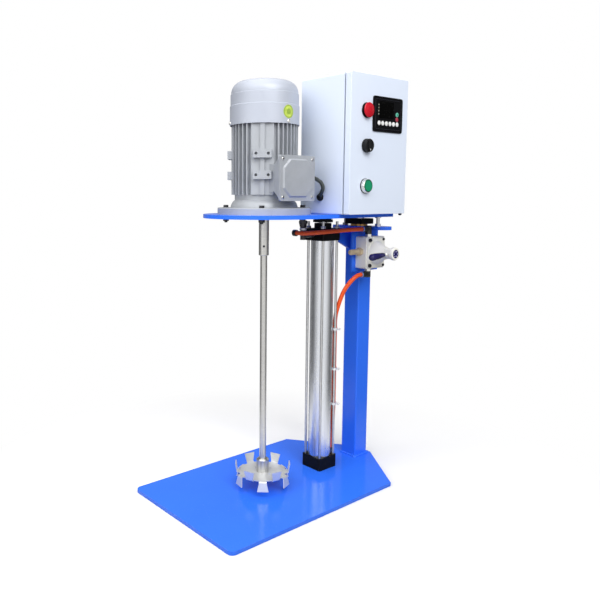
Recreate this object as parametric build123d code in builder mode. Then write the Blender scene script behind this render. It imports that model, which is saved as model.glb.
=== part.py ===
from build123d import *
from math import asin, cos, degrees, pi, radians, sin, tan
import os

# Lift mixer: an electric motor turns a toothed dispersing disc on a long shaft, and an air
# cylinder lifts motor, shaft and control cabinet together so that a vessel can be changed.
# Millimetres, +Z up. The origin is on the axis of the mixing shaft, on the underside of the
# base. +X is the operator's side, where the cabinet door is, and +Y points to the back.

os.makedirs("parts", exist_ok=True)

# Driving dimensions

# Base plate, with its rear corners cut off towards the column
base_width = 345.0
base_front = 229.0
base_chamfer_start = 240.0
base_rear = 347.0
base_rear_width = 50.0
base_thickness = 8.0
base_corner_radius = 12.0

# Column, a square tube, and the plate welded on its top
column_side = 45.0
column_wall = 3.0
column_front_y = 290.0
column_height = 572.0
column_weld = 4.0
weld_slope = 44.0
head_plate_thickness = 8.0
head_plate_length = 172.0
head_plate_width = 45.0
head_plate_setback = 8.5
rib_thickness = 8.0
rib_height = 22.0
rib_drop = 37.0

# Air cylinder, 50 mm bore with outside tie rods
bore = 50.0
barrel_wall = 2.0
cap_side = 58.0
foot_cap_height = 30.0
head_cap_height = 28.0
cap_edge_radius = 3.0
cap_spigot = 6.0
head_cap_drop = 2.0
cylinder_y = 184.0
tie_rod_span = 46.5
tie_rod_diameter = 6.0
tie_rod_foot_depth = 22.0
tie_nut_diameter = 10.0
tie_nut_height = 14.0
tie_rod_end = 2.0
port_from_barrel = 15.0
piston_length = 28.0
piston_rest_gap = 12.0
rod_diameter = 20.0
rod_bush_diameter = 32.0
rod_bush_collar = 40.0
rod_bush_collar_height = 12.0
rod_flange_diameter = 46.0
rod_flange_height = 14.0
rod_flange_groove = 2.0
rod_flange_neck = 40.0

# Lift: stroke, top plate and the guide rod that runs down inside the column
lift_stroke = 400.0
plate_gap = 26.0
top_plate_thickness = 8.0
top_plate_width = 262.0
top_plate_rear = 283.0
top_plate_corner = 14.0
tongue_width = 130.0
tongue_rear = 343.0
tongue_corner = 20.0
guide_rod_diameter = 25.0
guide_overlap = 70.0
guide_bush_diameter = 33.0
guide_bush_flange = 41.0
guide_bush_flange_height = 5.0
guide_bush_length = 46.0
stop_screw_diameter = 8.0
stop_screw_head = 13.0
stop_screw_head_height = 6.0
stop_screw_x = 51.0
stop_nut_height = 6.0

# Motor, with foot pads on its frame and a flange below
flange_diameter = 200.0
flange_thickness = 14.0
flange_edge = 1.5
flange_spigot = 130.0
flange_spigot_depth = 3.5
flange_bolt_circle_diameter = 165.0
flange_bolt_count = 4
flange_bolt_diameter = 10.0
flange_bolt_hole = 11.0
flange_bolt_head = 17.0
flange_bolt_head_height = 7.0
flange_nut_height = 8.0
flange_nut_end = 3.0
bell_diameter = 126.0
bell_height = 27.0
bell_root = 144.0
bell_web_height = 16.0
bell_web_radius = 21.0
bell_cavity = 100.0
shaft_passage = 23.0
frame_wall_diameter = 124.0
frame_bore = 112.0
frame_length = 149.0
fin_diameter = 142.0
fin_thickness = 2.6
fin_pitch_angle = 9.0
pad_angles = (-45.0, -135.0)
pad_width = 46.0
pad_radius = 66.0
pad_strip_width = 9.0
pad_strip_radius = 70.0
lug_width = 38.0
lug_height = 17.0
lug_radius = 77.0
lug_levels = (81.0, 124.0)
lug_hole = 6.0
lug_hole_span = 25.0
lug_hole_depth = 9.0
cowl_diameter = 146.8
cowl_wall = 1.6
cowl_height = 91.0
cowl_band_low = 39.0
cowl_band_high = 63.0
cowl_step = 1.4
cowl_shoulder_radius = 25.0
cowl_overlap = 5.0
grille_slots = 24
grille_inner = 22.0
grille_outer = 40.0
grille_slot_width = 3.0
rear_shield_thickness = 10.0
rear_hub_diameter = 62.0
rear_hub_depth = 12.0
shield_lug_width = 16.0
shield_lug_angles = (0.0, 120.0, -120.0)
stator_bore = 72.0
stator_length = 90.0
stator_level = 113.0
winding_outer = 102.0
winding_inner = 80.0
winding_height = 14.0
rotor_diameter = 70.0
rotor_length = 92.0
bearing_outer = 47.0
bearing_width = 14.0
bearing_step = 4.0
fan_diameter = 112.0
fan_hub_diameter = 36.0
fan_blades = 8
fan_blade_thickness = 2.0
fan_height = 24.0
fan_plate = 3.0
fan_gap = 6.0
shaft_core_diameter = 20.0
shaft_end_diameter = 16.0
shaft_end_length = 44.0
shaft_step_level = 4.0

# Terminal box on the +X side of the motor
box_face_x = 97.0
box_seat_x = 70.0
box_seat_depth = 35.0
box_width = 92.0
box_height = 88.0
box_seat_width = 74.0
box_seat_height = 56.0
box_center_level = 74.0
box_wall = 4.0
box_corner_radius = 4.0
wire_hole_diameter = 18.0
lid_width = 97.0
lid_height = 91.0
lid_thickness = 5.0
lid_raise = 3.0
lid_raise_inset = 7.0
lid_corner_cut = 18.0
lid_screw_inset = 7.5
lid_screw_sink = 8.0
lid_screw_depth = 1.5

# Mixing shaft and dispersing disc
sleeve_diameter = 22.0
sleeve_length = 82.0
sleeve_top_gap = 3.5
sleeve_edge = 0.8
set_screw_diameter = 5.0
set_screw_level = 20.0
shaft_diameter = 15.0
shaft_foot = 2.0
shaft_joint_gap = 3.0
disc_level = 43.0
disc_radius = 57.5
disc_thickness = 2.0
disc_edge_setback = 5.0
tooth_count = 12
tooth_root_width = 17.0
tooth_tip_width = 25.0
tooth_height = 20.0
tooth_lean = 8.0
tooth_phase = -41.0
tooth_bend = 3.0
hub_diameter = 28.0
hub_height = 31.0
hub_chamfer = 3.0
hub_nut_diameter = 22.0
hub_nut_height = 8.0
disc_hole_circle_diameter = 46.0
disc_hole_diameter = 4.0
disc_hole_count = 4

# Control cabinet on the top plate
cabinet_left_x = 18.0
cabinet_face_x = 158.0
cabinet_front_y = 92.0
cabinet_width = 186.0
cabinet_height = 287.0
cabinet_wall = 1.5
cabinet_edge_radius = 3.0
door_depth = 14.5
door_gap = 3.7
rim_inset = 12.0
rim_depth = 10.0
hinge_inset = 5.0
hinge_from_door_back = 5.0
hinge_pin_diameter = 3.0
hinge_barrel = 6.4
hinge_neck = 2.4
hinge_knuckle_height = 9.0
hinge_low = 42.0
hinge_high = 235.0
mounting_plate_thickness = 2.0
mounting_plate_margin = 14.0
standoff_height = 6.0
standoff_diameter = 8.0
drive_width = 84.0
drive_height = 150.0
drive_depth = 62.0
drive_drop = 109.0
drive_edge_radius = 3.0
drive_vent_count = 9
drive_vent_width = 3.0
drive_vent_pitch = 8.0
drive_vent_depth = 12.0
drive_vent_length = 34.0

# What the door carries, as drops from the cabinet's top and distances from its hinge edge
keypad_width = 100.0
keypad_height = 73.0
keypad_from_edge = 66.0
keypad_drop = 78.0
keypad_proud = 7.0
keypad_depth = 14.0
keypad_corner = 5.0
keypad_lip = 5.0
keypad_bevel = 3.0
keypad_frame = 7.0
keypad_recess = 1.2
screen_width = 55.5
screen_height = 27.0
screen_offset = (-6.75, 11.5)
screen_recess = 0.6
key_diameter = 9.0
key_height = 0.8
key_count = 6
key_pitch = 12.2
key_row = (1.5, -18.0)
run_key_offset = (30.4, 2.8)
halt_key_offset = (30.2, -7.1)
controls_from_edge = 48.5
stop_drop = 73.0
knob_drop = 145.0
start_drop = 227.5
start_bezel_diameter = 31.0
start_bezel_height = 9.0
stop_bezel_diameter = 32.0
stop_bezel_height = 6.0
bezel_web = 2.0
switch_neck_diameter = 22.0
switch_neck_reach = 1.5
stop_cap_diameter = 28.0
stop_cap_height = 14.0
stop_cap_round = 9.0
stop_travel = 4.0
start_cap_diameter = 25.0
start_cap_proud = 1.0
start_travel = 3.5
button_stem = 12.0
button_stem_depth = 10.0
switch_body_side = 28.0
switch_body_depth = 36.0
switch_body_gap = 3.0
knob_skirt_diameter = 29.0
knob_skirt_height = 3.0
knob_grip_diameter = 23.0
knob_grip_height = 12.0
knob_flutes = 12
knob_flute_diameter = 3.0
knob_stem = 6.0
knob_stem_depth = 12.0
knob_bushing_diameter = 9.0
potentiometer_diameter = 24.0
potentiometer_depth = 18.0

# Hand valve and its bracket on the column
bracket_thickness = 5.0
bracket_height = 100.0
bracket_width = 95.0
valve_center_y = 304.5
valve_drop = 53.5
valve_depth = 30.5
valve_width = 68.0
valve_height = 76.0
valve_edge_radius = 4.0
cover_flange = 4.0
cover_width = 60.0
cover_height = 70.0
dome_diameter = 56.0
dome_depth = 16.0
dome_neck_ratio = 0.62
cover_neck_diameter = 25.0
cover_neck_depth = 16.0
spindle_diameter = 12.0
spindle_seat_depth = 10.0
lever_tilt = 5.0
lever_rod_diameter = 6.0
lever_rod_length = 48.0
lever_from_neck = 6.5
lever_hub_diameter = 26.0
lever_hub_depth = 24.0
lever_hub_recess = 20.0
lever_hub_recess_depth = 1.0
grip_start = 21.0
grip_length = 50.0
grip_big_diameter = 16.0
grip_small_diameter = 9.0
valve_port_from_front = 8.0
valve_port_y = 288.0
valve_inlet_diameter = 11.0
valve_inlet_depth = 14.0

# Air fittings, silencer and hoses
hose_diameter = 10.0
fitting_diameter = 15.0
fitting_hex = 14.0
fitting_hex_height = 6.0
fitting_thread_diameter = 9.0
fitting_thread = 8.0
fitting_arm = 21.0
fitting_arm_diameter = 14.0
fitting_air_way = 6.0
fitting_edge = 1.2
hose_seat_depth = 7.0
upper_elbow_reach = 18.5
lower_elbow_reach = 13.5
foot_elbow_reach = 13.0
silencer_diameter = 13.0
silencer_length = 29.0
silencer_hex = 17.0
silencer_hex_height = 9.0
silencer_rise = 2.5
silencer_from_face = 16.5
silencer_end_radius = 3.0
flow_x = -3.0
flow_y = 122.0
flow_arm_y = 106.5
flow_arm_x = -8.0
flow_arm_bottom = 5.0
flow_neck_diameter = 8.0
flow_body_diameter = 13.0
flow_body_drop = 11.0
flow_collar_diameter = 16.0
flow_collar_height = 5.0
flow_collar_above_cap = 2.0
flow_knob_top_diameter = 20.0
flow_knob_foot_diameter = 14.0
flow_knob_height = 17.0
flow_knob_flare = 12.0
flow_knob_edge = 1.7
flow_knob_sides = 12
flow_knob_stem = 7.0
flow_knob_stem_length = 12.0
tie_high = 344.0
tie_middle = 247.0
tie_low = 161.0
tie_width = 5.0
tie_thickness = 1.4

# Motor lead between the terminal box and the cabinet
lead_diameter = 8.0
gland_diameter = 17.0
gland_length = 12.0
gland_thread_diameter = 12.0
gland_thread = 7.0
gland_sides = 12
gland_edge = 1.5
box_gland_x = 87.0
box_boss_y = 47.0
box_gland_level = 75.0
cabinet_gland_x = 78.0
cabinet_gland_level = 36.0
inlet_dome_neck = 3.5
power_gland_bore = 9.0

# Clearances
running_clearance = 0.05
slide_clearance = 0.3
spigot_clearance = 0.1

# Bends of hoses and lead, and how far each runs straight out of its fitting
bend_share = 0.45
hose_straight = 22.0
lead_straight = 12.0
lead_in_gland = 8.0
hose_from_tie_rod = 16.4
hose_side_y = 214.0

# Levels and places that follow from the sizes above

base_top = base_thickness
column_top = base_top + column_height
column_y = column_front_y + column_side / 2
head_plate_top = column_top + head_plate_thickness
head_plate_y = column_front_y + head_plate_setback + head_plate_width / 2
foot_cap_top = base_top + foot_cap_height
head_cap_top = head_plate_top - head_cap_drop
barrel_top = head_cap_top - head_cap_height
barrel_length = barrel_top - foot_cap_top
cap_rear_y = cylinder_y + cap_side / 2
cap_front_y = cylinder_y - cap_side / 2
foot_port_z = foot_cap_top - port_from_barrel
head_port_z = barrel_top + head_cap_height / 2
piston_bottom = foot_cap_top + piston_rest_gap
piston_top = piston_bottom + piston_length
collar_top = head_cap_top + rod_bush_collar_height
top_plate_bottom = head_plate_top + plate_gap
top_plate_top = top_plate_bottom + top_plate_thickness
plate_half = top_plate_width / 2
bell_bottom = top_plate_top + flange_thickness
frame_bottom = bell_bottom + bell_height
frame_top = frame_bottom + frame_length
cowl_bottom = frame_top - cowl_overlap
cowl_top = cowl_bottom + cowl_height
shield_top = frame_top + rear_shield_thickness
front_bearing_bottom = bell_bottom + bearing_step
rear_bearing_bottom = shield_top - bearing_step - bearing_width
fan_bottom = shield_top + fan_gap
fan_top = fan_bottom + fan_height
stator_z = top_plate_top + stator_level
box_z = top_plate_top + box_center_level
cabinet_bottom = top_plate_top
cabinet_top = cabinet_bottom + cabinet_height
cabinet_rear_y = cabinet_front_y + cabinet_width
cabinet_center_y = cabinet_front_y + cabinet_width / 2
cabinet_center_z = cabinet_bottom + cabinet_height / 2
door_back_x = cabinet_face_x - door_depth
body_front_x = door_back_x - door_gap
hinge_x = door_back_x + hinge_from_door_back
hinge_y = cabinet_front_y + hinge_inset
controls_y = cabinet_front_y + controls_from_edge
bracket_x = column_side / 2
valve_center_z = column_top - valve_drop
valve_back_x = bracket_x + bracket_thickness
valve_front_x = valve_back_x + valve_depth
cover_front_x = valve_front_x + cover_flange + dome_depth + cover_neck_depth
valve_top = valve_center_z + valve_height / 2
valve_bottom = valve_center_z - valve_height / 2
valve_front_y = valve_center_y - valve_width / 2
valve_rear_y = valve_center_y + valve_width / 2
valve_port_x = valve_front_x - valve_port_from_front
silencer_x = valve_front_x - silencer_from_face
silencer_level = valve_center_z + silencer_rise
sleeve_top = top_plate_top - sleeve_top_gap - flange_spigot_depth
sleeve_bottom = sleeve_top - sleeve_length
shaft_end_z = sleeve_top - shaft_end_length
hub_bottom = disc_level + disc_thickness / 2
nut_top = disc_level - disc_thickness / 2
tie_rod_offset = tie_rod_span / 2
flow_arm_z = head_port_z + flow_arm_bottom
box_gland_z = top_plate_top + box_gland_level
cabinet_gland_z = cabinet_bottom + cabinet_gland_level
upper_hose_z = valve_top + upper_elbow_reach
lower_hose_z = valve_bottom - lower_elbow_reach
elbow_mouth_y = valve_port_y - fitting_arm
hose_seat_y = elbow_mouth_y + hose_seat_depth
foot_mouth_z = foot_port_z + fitting_arm
foot_seat_z = foot_mouth_z - hose_seat_depth
foot_hose_y = cap_rear_y + foot_elbow_reach
lead_start_y = box_boss_y + lead_in_gland

# Routes, as points chosen along each hose and along the motor lead
upper_hose_route = [
    (flow_arm_x - hose_seat_depth, flow_arm_y, flow_arm_z),
    (flow_arm_x + hose_straight + 2, flow_arm_y, flow_arm_z),
    (36.0, flow_arm_y + hose_straight, flow_arm_z + 2),
    (40.5, 170.0, upper_hose_z - 2.5),
    (43.0, 212.0, upper_hose_z - 1),
    (valve_port_x, hose_seat_y - 28, upper_hose_z),
    (valve_port_x, hose_seat_y, upper_hose_z),
]
lower_hose_route = [
    (valve_port_x, hose_seat_y, lower_hose_z),
    (valve_port_x, hose_seat_y - hose_straight, lower_hose_z),
    (45.0, 235.0, lower_hose_z - 13),
    (34.0, 224.0, lower_hose_z - 35),
    (24.0, 218.8, lower_hose_z - 65),
    (hose_from_tie_rod, hose_side_y, lower_hose_z - 99),
    (hose_from_tie_rod, hose_side_y, foot_seat_z + 113),
    (10.0, 218.5, foot_seat_z + 75),
    (0.0, foot_hose_y, foot_seat_z + 39),
    (0.0, foot_hose_y, foot_seat_z),
]
motor_lead_route = [
    (box_gland_x, lead_start_y, box_gland_z),
    (box_gland_x, lead_start_y + lead_straight, box_gland_z),
    (93.5, 78.0, cabinet_gland_z + 30),
    (96.0, 81.0, cabinet_gland_z + 19),
    (90.5, 81.5, cabinet_gland_z + 9.5),
    (80.2, 88.6, cabinet_gland_z + 2.7),
]


def keep(part, name):
    """Label a finished piece and write it to its own file."""
    part.label = name
    export_step(part, f"parts/{name}.step")


def level(x, y, z):
    """A level plane at a point."""
    return Plane(origin=(x, y, z))


def facing_operator(x, y, z):
    """A plane that looks along +X, its own x along Y and its own y along Z."""
    return Plane(origin=(x, y, z), x_dir=(0, 1, 0), z_dir=(1, 0, 0))


def across(x, y, z, direction):
    """A plane through a point, square to a direction."""
    return Plane(origin=(x, y, z), z_dir=direction)


def bend_radii(route):
    """The arc at each inner point: a share of its shorter run over the tangent of half the turn."""
    radii = []
    for before, corner, after in zip(route, route[1:], route[2:]):
        arriving = Vector(*corner) - Vector(*before)
        leaving = Vector(*after) - Vector(*corner)
        half_turn = radians(arriving.get_angle(leaving)) / 2
        radii.append(bend_share * min(arriving.length, leaving.length) / tan(half_turn))
    return radii


def flexible(route, diameter, name):
    """A hose or a lead: a round tube along straight runs joined by tangent arcs."""
    radii = bend_radii(route)
    with BuildPart() as tube:
        with BuildLine() as path:
            FilletPolyline(*route, radius=radii)
        middle_line = path.wires()[0]
        with BuildSketch(Plane(origin=middle_line @ 0, z_dir=middle_line % 0)):
            Circle(diameter / 2)
        sweep(path=middle_line)
    length = middle_line.length
    ratio = tube.part.volume / (pi * diameter ** 2 / 4 * length)
    print(name, "radii", [round(radius) for radius in radii])
    print(name, "length", round(length), "volume over section times length", round(ratio, 4))
    keep(tube.part, name)


def elbow(name, seat, outward, reach, arm_direction):
    """A push-in elbow: a hexagon on its port, an upright barrel, and an arm for the hose."""
    center = seat + reach * outward
    mouth = center + fitting_arm * arm_direction
    with BuildPart() as fitting:
        with BuildSketch(across(*seat, outward)):
            RegularPolygon(fitting_hex / 2, 6, major_radius=False)
        extrude(amount=fitting_hex_height)
        with BuildSketch(across(*seat, outward)):
            Circle(fitting_thread_diameter / 2)
        extrude(amount=-fitting_thread)
        with BuildSketch(across(*(seat + fitting_hex_height * outward), outward)):
            Circle(fitting_diameter / 2)
        extrude(amount=reach + fitting_diameter / 2 - fitting_hex_height)
        chamfer(fitting.edges(Select.LAST).sort_by(Axis(center, outward))[-1], fitting_edge)
        with BuildSketch(across(*center, arm_direction)):
            Circle(fitting_arm_diameter / 2)
        extrude(amount=fitting_arm)
        with BuildSketch(across(*mouth, arm_direction)):
            Circle(hose_diameter / 2 + running_clearance)
        extrude(amount=-hose_seat_depth, mode=Mode.SUBTRACT)
        with BuildSketch(across(*mouth, arm_direction)):
            Circle(fitting_air_way / 2)
        extrude(amount=-fitting_arm - fitting_air_way / 4, mode=Mode.SUBTRACT)
        with BuildSketch(across(*center, outward)):
            Circle(fitting_air_way / 2)
        extrude(amount=-reach - fitting_thread, mode=Mode.SUBTRACT)
    keep(fitting.part, name)


# Base plate

base_outline = [
    (-base_width / 2, -base_front),
    (base_width / 2, -base_front),
    (base_width / 2, base_chamfer_start),
    (base_rear_width / 2, base_rear),
    (-base_rear_width / 2, base_rear),
    (-base_width / 2, base_chamfer_start),
]

with BuildPart() as base_plate:
    with BuildSketch():
        with BuildLine():
            Polyline(*base_outline, close=True)
        make_face()
        fillet(vertices().group_by(Axis.Y)[0], base_corner_radius)
    extrude(amount=base_thickness)
keep(base_plate.part, "base_plate")

# Column, with the weld round its foot

with BuildPart() as column:
    with BuildSketch(level(0, column_y, base_top)):
        Rectangle(column_side + 2 * column_weld, column_side + 2 * column_weld)
    extrude(amount=column_weld, taper=weld_slope)
    with BuildSketch(level(0, column_y, base_top)):
        RectangleRounded(column_side, column_side, column_wall)
    extrude(amount=column_height)
    with BuildSketch(level(0, column_y, base_top)):
        Rectangle(column_side - 2 * column_wall, column_side - 2 * column_wall)
    extrude(amount=column_height, mode=Mode.SUBTRACT)
keep(column.part, "column")

# Plate on the column's top, with the guide bush in it and a stop screw at each end

with BuildPart() as head_plate:
    with BuildSketch(level(0, head_plate_y, column_top)):
        SlotOverall(head_plate_length, head_plate_width)
    extrude(amount=head_plate_thickness)
    with BuildSketch(level(0, column_y, column_top)):
        Rectangle(column_side, column_side)
    extrude(amount=head_plate_thickness)
    with Locations((0, column_y, head_plate_top)):
        Hole(guide_bush_diameter / 2 + running_clearance)
    with Locations((-stop_screw_x, head_plate_y, head_plate_top),
                   (stop_screw_x, head_plate_y, head_plate_top)):
        Hole(stop_screw_diameter / 2 + running_clearance)
keep(head_plate.part, "head_plate")

with BuildPart() as guide_bush:
    with BuildSketch(level(0, column_y, head_plate_top)):
        Circle(guide_bush_flange / 2)
    extrude(amount=guide_bush_flange_height)
    with BuildSketch(level(0, column_y, head_plate_top)):
        Circle(guide_bush_diameter / 2)
    extrude(amount=-guide_bush_length)
    with Locations((0, column_y, head_plate_top)):
        Hole(guide_rod_diameter / 2 + running_clearance)
keep(guide_bush.part, "guide_bush")

with BuildPart() as stop_screws:
    for side in (-1, 1):
        with BuildSketch(level(side * stop_screw_x, head_plate_y, column_top)):
            Circle(stop_screw_diameter / 2)
        extrude(amount=head_plate_thickness + plate_gap - slide_clearance)
        with BuildSketch(level(side * stop_screw_x, head_plate_y, head_plate_top)):
            RegularPolygon(stop_screw_head / 2, 6, major_radius=False)
        extrude(amount=stop_nut_height)
        with BuildSketch(level(side * stop_screw_x, head_plate_y, top_plate_bottom - slide_clearance)):
            RegularPolygon(stop_screw_head / 2, 6, major_radius=False)
        extrude(amount=-stop_screw_head_height)
keep(stop_screws.part, "stop_screws")

# Rib between the cylinder's head and the column

rib_outline = [
    (cap_rear_y, head_cap_top),
    (column_front_y, head_cap_top),
    (column_front_y, head_cap_top - rib_height - rib_drop),
    (cap_rear_y, head_cap_top - rib_height),
]

with BuildPart() as column_rib:
    with BuildSketch(Plane.YZ):
        with BuildLine():
            Polyline(*rib_outline, close=True)
        make_face()
    extrude(amount=rib_thickness / 2, both=True)
keep(column_rib.part, "column_rib")

# Air cylinder: two caps, barrel, tie rods with their nuts, piston, rod and its bush

with BuildPart() as cylinder_foot:
    with BuildSketch(level(0, cylinder_y, base_top)):
        RectangleRounded(cap_side, cap_side, cap_edge_radius)
    extrude(amount=foot_cap_height)
    with BuildSketch(level(0, cylinder_y, foot_cap_top)):
        Circle(bore / 2 - running_clearance)
    extrude(amount=cap_spigot)
    with Locations((0, cylinder_y, foot_cap_top)):
        with GridLocations(tie_rod_span, tie_rod_span, 2, 2):
            Hole(tie_rod_diameter / 2 + running_clearance, depth=tie_rod_foot_depth)
    with BuildSketch(across(0, cap_rear_y, foot_port_z, (0, -1, 0))):
        Circle(fitting_thread_diameter / 2 + running_clearance)
    extrude(amount=fitting_thread + fitting_air_way / 2, mode=Mode.SUBTRACT)
    with Locations((0, cap_rear_y - fitting_thread - fitting_air_way / 2, foot_cap_top + cap_spigot)):
        Hole(fitting_air_way / 2, depth=cap_spigot + port_from_barrel)
keep(cylinder_foot.part, "cylinder_foot")

with BuildPart() as cylinder_barrel:
    with BuildSketch(level(0, cylinder_y, foot_cap_top)):
        Circle(bore / 2 + barrel_wall)
        Circle(bore / 2, mode=Mode.SUBTRACT)
    extrude(amount=barrel_length)
keep(cylinder_barrel.part, "cylinder_barrel")

with BuildPart() as cylinder_head:
    with BuildSketch(level(0, cylinder_y, barrel_top)):
        RectangleRounded(cap_side, cap_side, cap_edge_radius)
    extrude(amount=head_cap_height)
    with BuildSketch(level(0, cylinder_y, barrel_top)):
        Circle(bore / 2 - running_clearance)
    extrude(amount=-cap_spigot)
    with Locations((0, cylinder_y, head_cap_top)):
        Hole(rod_bush_diameter / 2 + running_clearance)
        with GridLocations(tie_rod_span, tie_rod_span, 2, 2):
            Hole(tie_rod_diameter / 2 + running_clearance, depth=head_cap_height)
    with BuildSketch(across(flow_x, cap_front_y, head_port_z, (0, 1, 0))):
        Circle(fitting_thread_diameter / 2 + running_clearance)
    extrude(amount=fitting_thread, mode=Mode.SUBTRACT)
keep(cylinder_head.part, "cylinder_head")

with BuildPart() as tie_rods:
    with BuildSketch(level(0, cylinder_y, foot_cap_top - tie_rod_foot_depth)):
        with GridLocations(tie_rod_span, tie_rod_span, 2, 2):
            Circle(tie_rod_diameter / 2)
    extrude(amount=tie_rod_foot_depth + barrel_length + head_cap_height + tie_nut_height + tie_rod_end)
keep(tie_rods.part, "tie_rods")

with BuildPart() as tie_rod_nuts:
    with BuildSketch(level(0, cylinder_y, head_cap_top)):
        with GridLocations(tie_rod_span, tie_rod_span, 2, 2):
            RegularPolygon(tie_nut_diameter / 2, 6)
            Circle(tie_rod_diameter / 2 + running_clearance, mode=Mode.SUBTRACT)
    extrude(amount=tie_nut_height)
keep(tie_rod_nuts.part, "tie_rod_nuts")

with BuildPart() as rod_bush:
    with BuildSketch(level(0, cylinder_y, barrel_top)):
        Circle(rod_bush_diameter / 2)
    extrude(amount=head_cap_height)
    with BuildSketch(level(0, cylinder_y, head_cap_top)):
        Circle(rod_bush_collar / 2)
    extrude(amount=rod_bush_collar_height)
    chamfer(edges().sort_by(Axis.Z)[-1], fitting_edge)
    with Locations((0, cylinder_y, collar_top)):
        Hole(rod_diameter / 2 + running_clearance)
keep(rod_bush.part, "rod_bush")

with BuildPart() as piston:
    with BuildSketch(level(0, cylinder_y, piston_bottom)):
        Circle(bore / 2 - slide_clearance)
        Circle(rod_diameter / 2 + running_clearance, mode=Mode.SUBTRACT)
    extrude(amount=piston_length)
keep(piston.part, "piston")

with BuildPart() as piston_rod:
    with BuildSketch(level(0, cylinder_y, piston_bottom)):
        Circle(rod_diameter / 2)
    extrude(amount=top_plate_bottom - piston_bottom)
keep(piston_rod.part, "piston_rod")

with BuildPart() as rod_flange:
    with BuildSketch(level(0, cylinder_y, top_plate_bottom)):
        Circle(rod_flange_neck / 2)
    extrude(amount=-rod_flange_height)
    with BuildSketch(level(0, cylinder_y, top_plate_bottom)):
        Circle(rod_flange_diameter / 2)
    extrude(amount=-(rod_flange_height - rod_flange_groove) / 2)
    with BuildSketch(level(0, cylinder_y, top_plate_bottom - rod_flange_height)):
        Circle(rod_flange_diameter / 2)
    extrude(amount=(rod_flange_height - rod_flange_groove) / 2)
    with Locations((0, cylinder_y, top_plate_bottom)):
        Hole(rod_diameter / 2 + running_clearance)
keep(rod_flange.part, "rod_flange")

# Top plate, round about the shaft, with a tongue over the column for the guide rod

with BuildPart() as top_plate:
    with BuildSketch(level(0, 0, top_plate_bottom)):
        Circle(plate_half)
        with Locations((0, top_plate_rear / 2)):
            Rectangle(top_plate_width, top_plate_rear)
        fillet(vertices().group_by(Axis.Y)[-1], top_plate_corner)
        with Locations((0, tongue_rear / 2)):
            Rectangle(tongue_width, tongue_rear)
        fillet(vertices().group_by(Axis.Y)[-1], tongue_corner)
        Circle(flange_spigot / 2 + spigot_clearance, mode=Mode.SUBTRACT)
        with PolarLocations(flange_bolt_circle_diameter / 2, flange_bolt_count, start_angle=45):
            Circle(flange_bolt_hole / 2, mode=Mode.SUBTRACT)
    extrude(amount=top_plate_thickness)
keep(top_plate.part, "top_plate")

with BuildPart() as guide_rod:
    with BuildSketch(level(0, column_y, top_plate_bottom)):
        Circle(guide_rod_diameter / 2)
    extrude(amount=-(top_plate_bottom - head_plate_top + lift_stroke + guide_overlap))
keep(guide_rod.part, "guide_rod")

# Motor, from the flange up: flange with its bell, finned frame, rear shield and fan cowl


def revolved_bell():
    """Half section of the flange: spigot, disc, curved web up to the bell, and bearing seat."""
    web_top = bell_bottom + bell_web_height
    Polyline(
        (shaft_passage / 2, top_plate_top - flange_spigot_depth),
        (flange_spigot / 2, top_plate_top - flange_spigot_depth),
        (flange_spigot / 2, top_plate_top),
        (flange_diameter / 2, top_plate_top),
        (flange_diameter / 2, bell_bottom - flange_edge),
        (flange_diameter / 2 - flange_edge, bell_bottom),
        (bell_root / 2, bell_bottom),
    )
    RadiusArc((bell_root / 2, bell_bottom), (bell_diameter / 2, web_top), -bell_web_radius)
    Polyline(
        (bell_diameter / 2, web_top),
        (bell_diameter / 2, frame_bottom),
        (bell_cavity / 2, frame_bottom),
        (bell_cavity / 2, front_bearing_bottom + bearing_width),
        (bearing_outer / 2 + running_clearance, front_bearing_bottom + bearing_width),
        (bearing_outer / 2 + running_clearance, front_bearing_bottom),
        (shaft_passage / 2, front_bearing_bottom),
        (shaft_passage / 2, top_plate_top - flange_spigot_depth),
    )


with BuildPart() as motor_flange:
    with BuildSketch(Plane.XZ):
        with BuildLine():
            revolved_bell()
        make_face()
    revolve(axis=Axis.Z)
    with Locations((0, 0, bell_bottom)):
        with PolarLocations(flange_bolt_circle_diameter / 2, flange_bolt_count, start_angle=45):
            Hole(flange_bolt_hole / 2, depth=flange_thickness)
    with BuildSketch(level(0, cabinet_front_y - slide_clearance, top_plate_top)):
        Rectangle(flange_diameter, flange_diameter, align=(Align.CENTER, Align.MIN))
    extrude(amount=flange_thickness, mode=Mode.SUBTRACT)
keep(motor_flange.part, "motor_flange")

with BuildPart() as flange_bolts:
    with BuildSketch(level(0, 0, bell_bottom)):
        with PolarLocations(flange_bolt_circle_diameter / 2, flange_bolt_count, start_angle=45):
            RegularPolygon(flange_bolt_head / 2, 6, major_radius=False)
    extrude(amount=flange_bolt_head_height)
    with BuildSketch(level(0, 0, bell_bottom)):
        with PolarLocations(flange_bolt_circle_diameter / 2, flange_bolt_count, start_angle=45):
            Circle(flange_bolt_diameter / 2)
    extrude(amount=-(flange_thickness + top_plate_thickness + flange_nut_height + flange_nut_end))
    with BuildSketch(level(0, 0, top_plate_bottom)):
        with PolarLocations(flange_bolt_circle_diameter / 2, flange_bolt_count, start_angle=45):
            RegularPolygon(flange_bolt_head / 2, 6, major_radius=False)
    extrude(amount=-flange_nut_height)
keep(flange_bolts.part, "flange_bolts")


def apart(angle, center):
    """How far apart two directions are, in degrees, from 0 to 180."""
    return abs((angle - center + 180) % 360 - 180)


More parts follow.
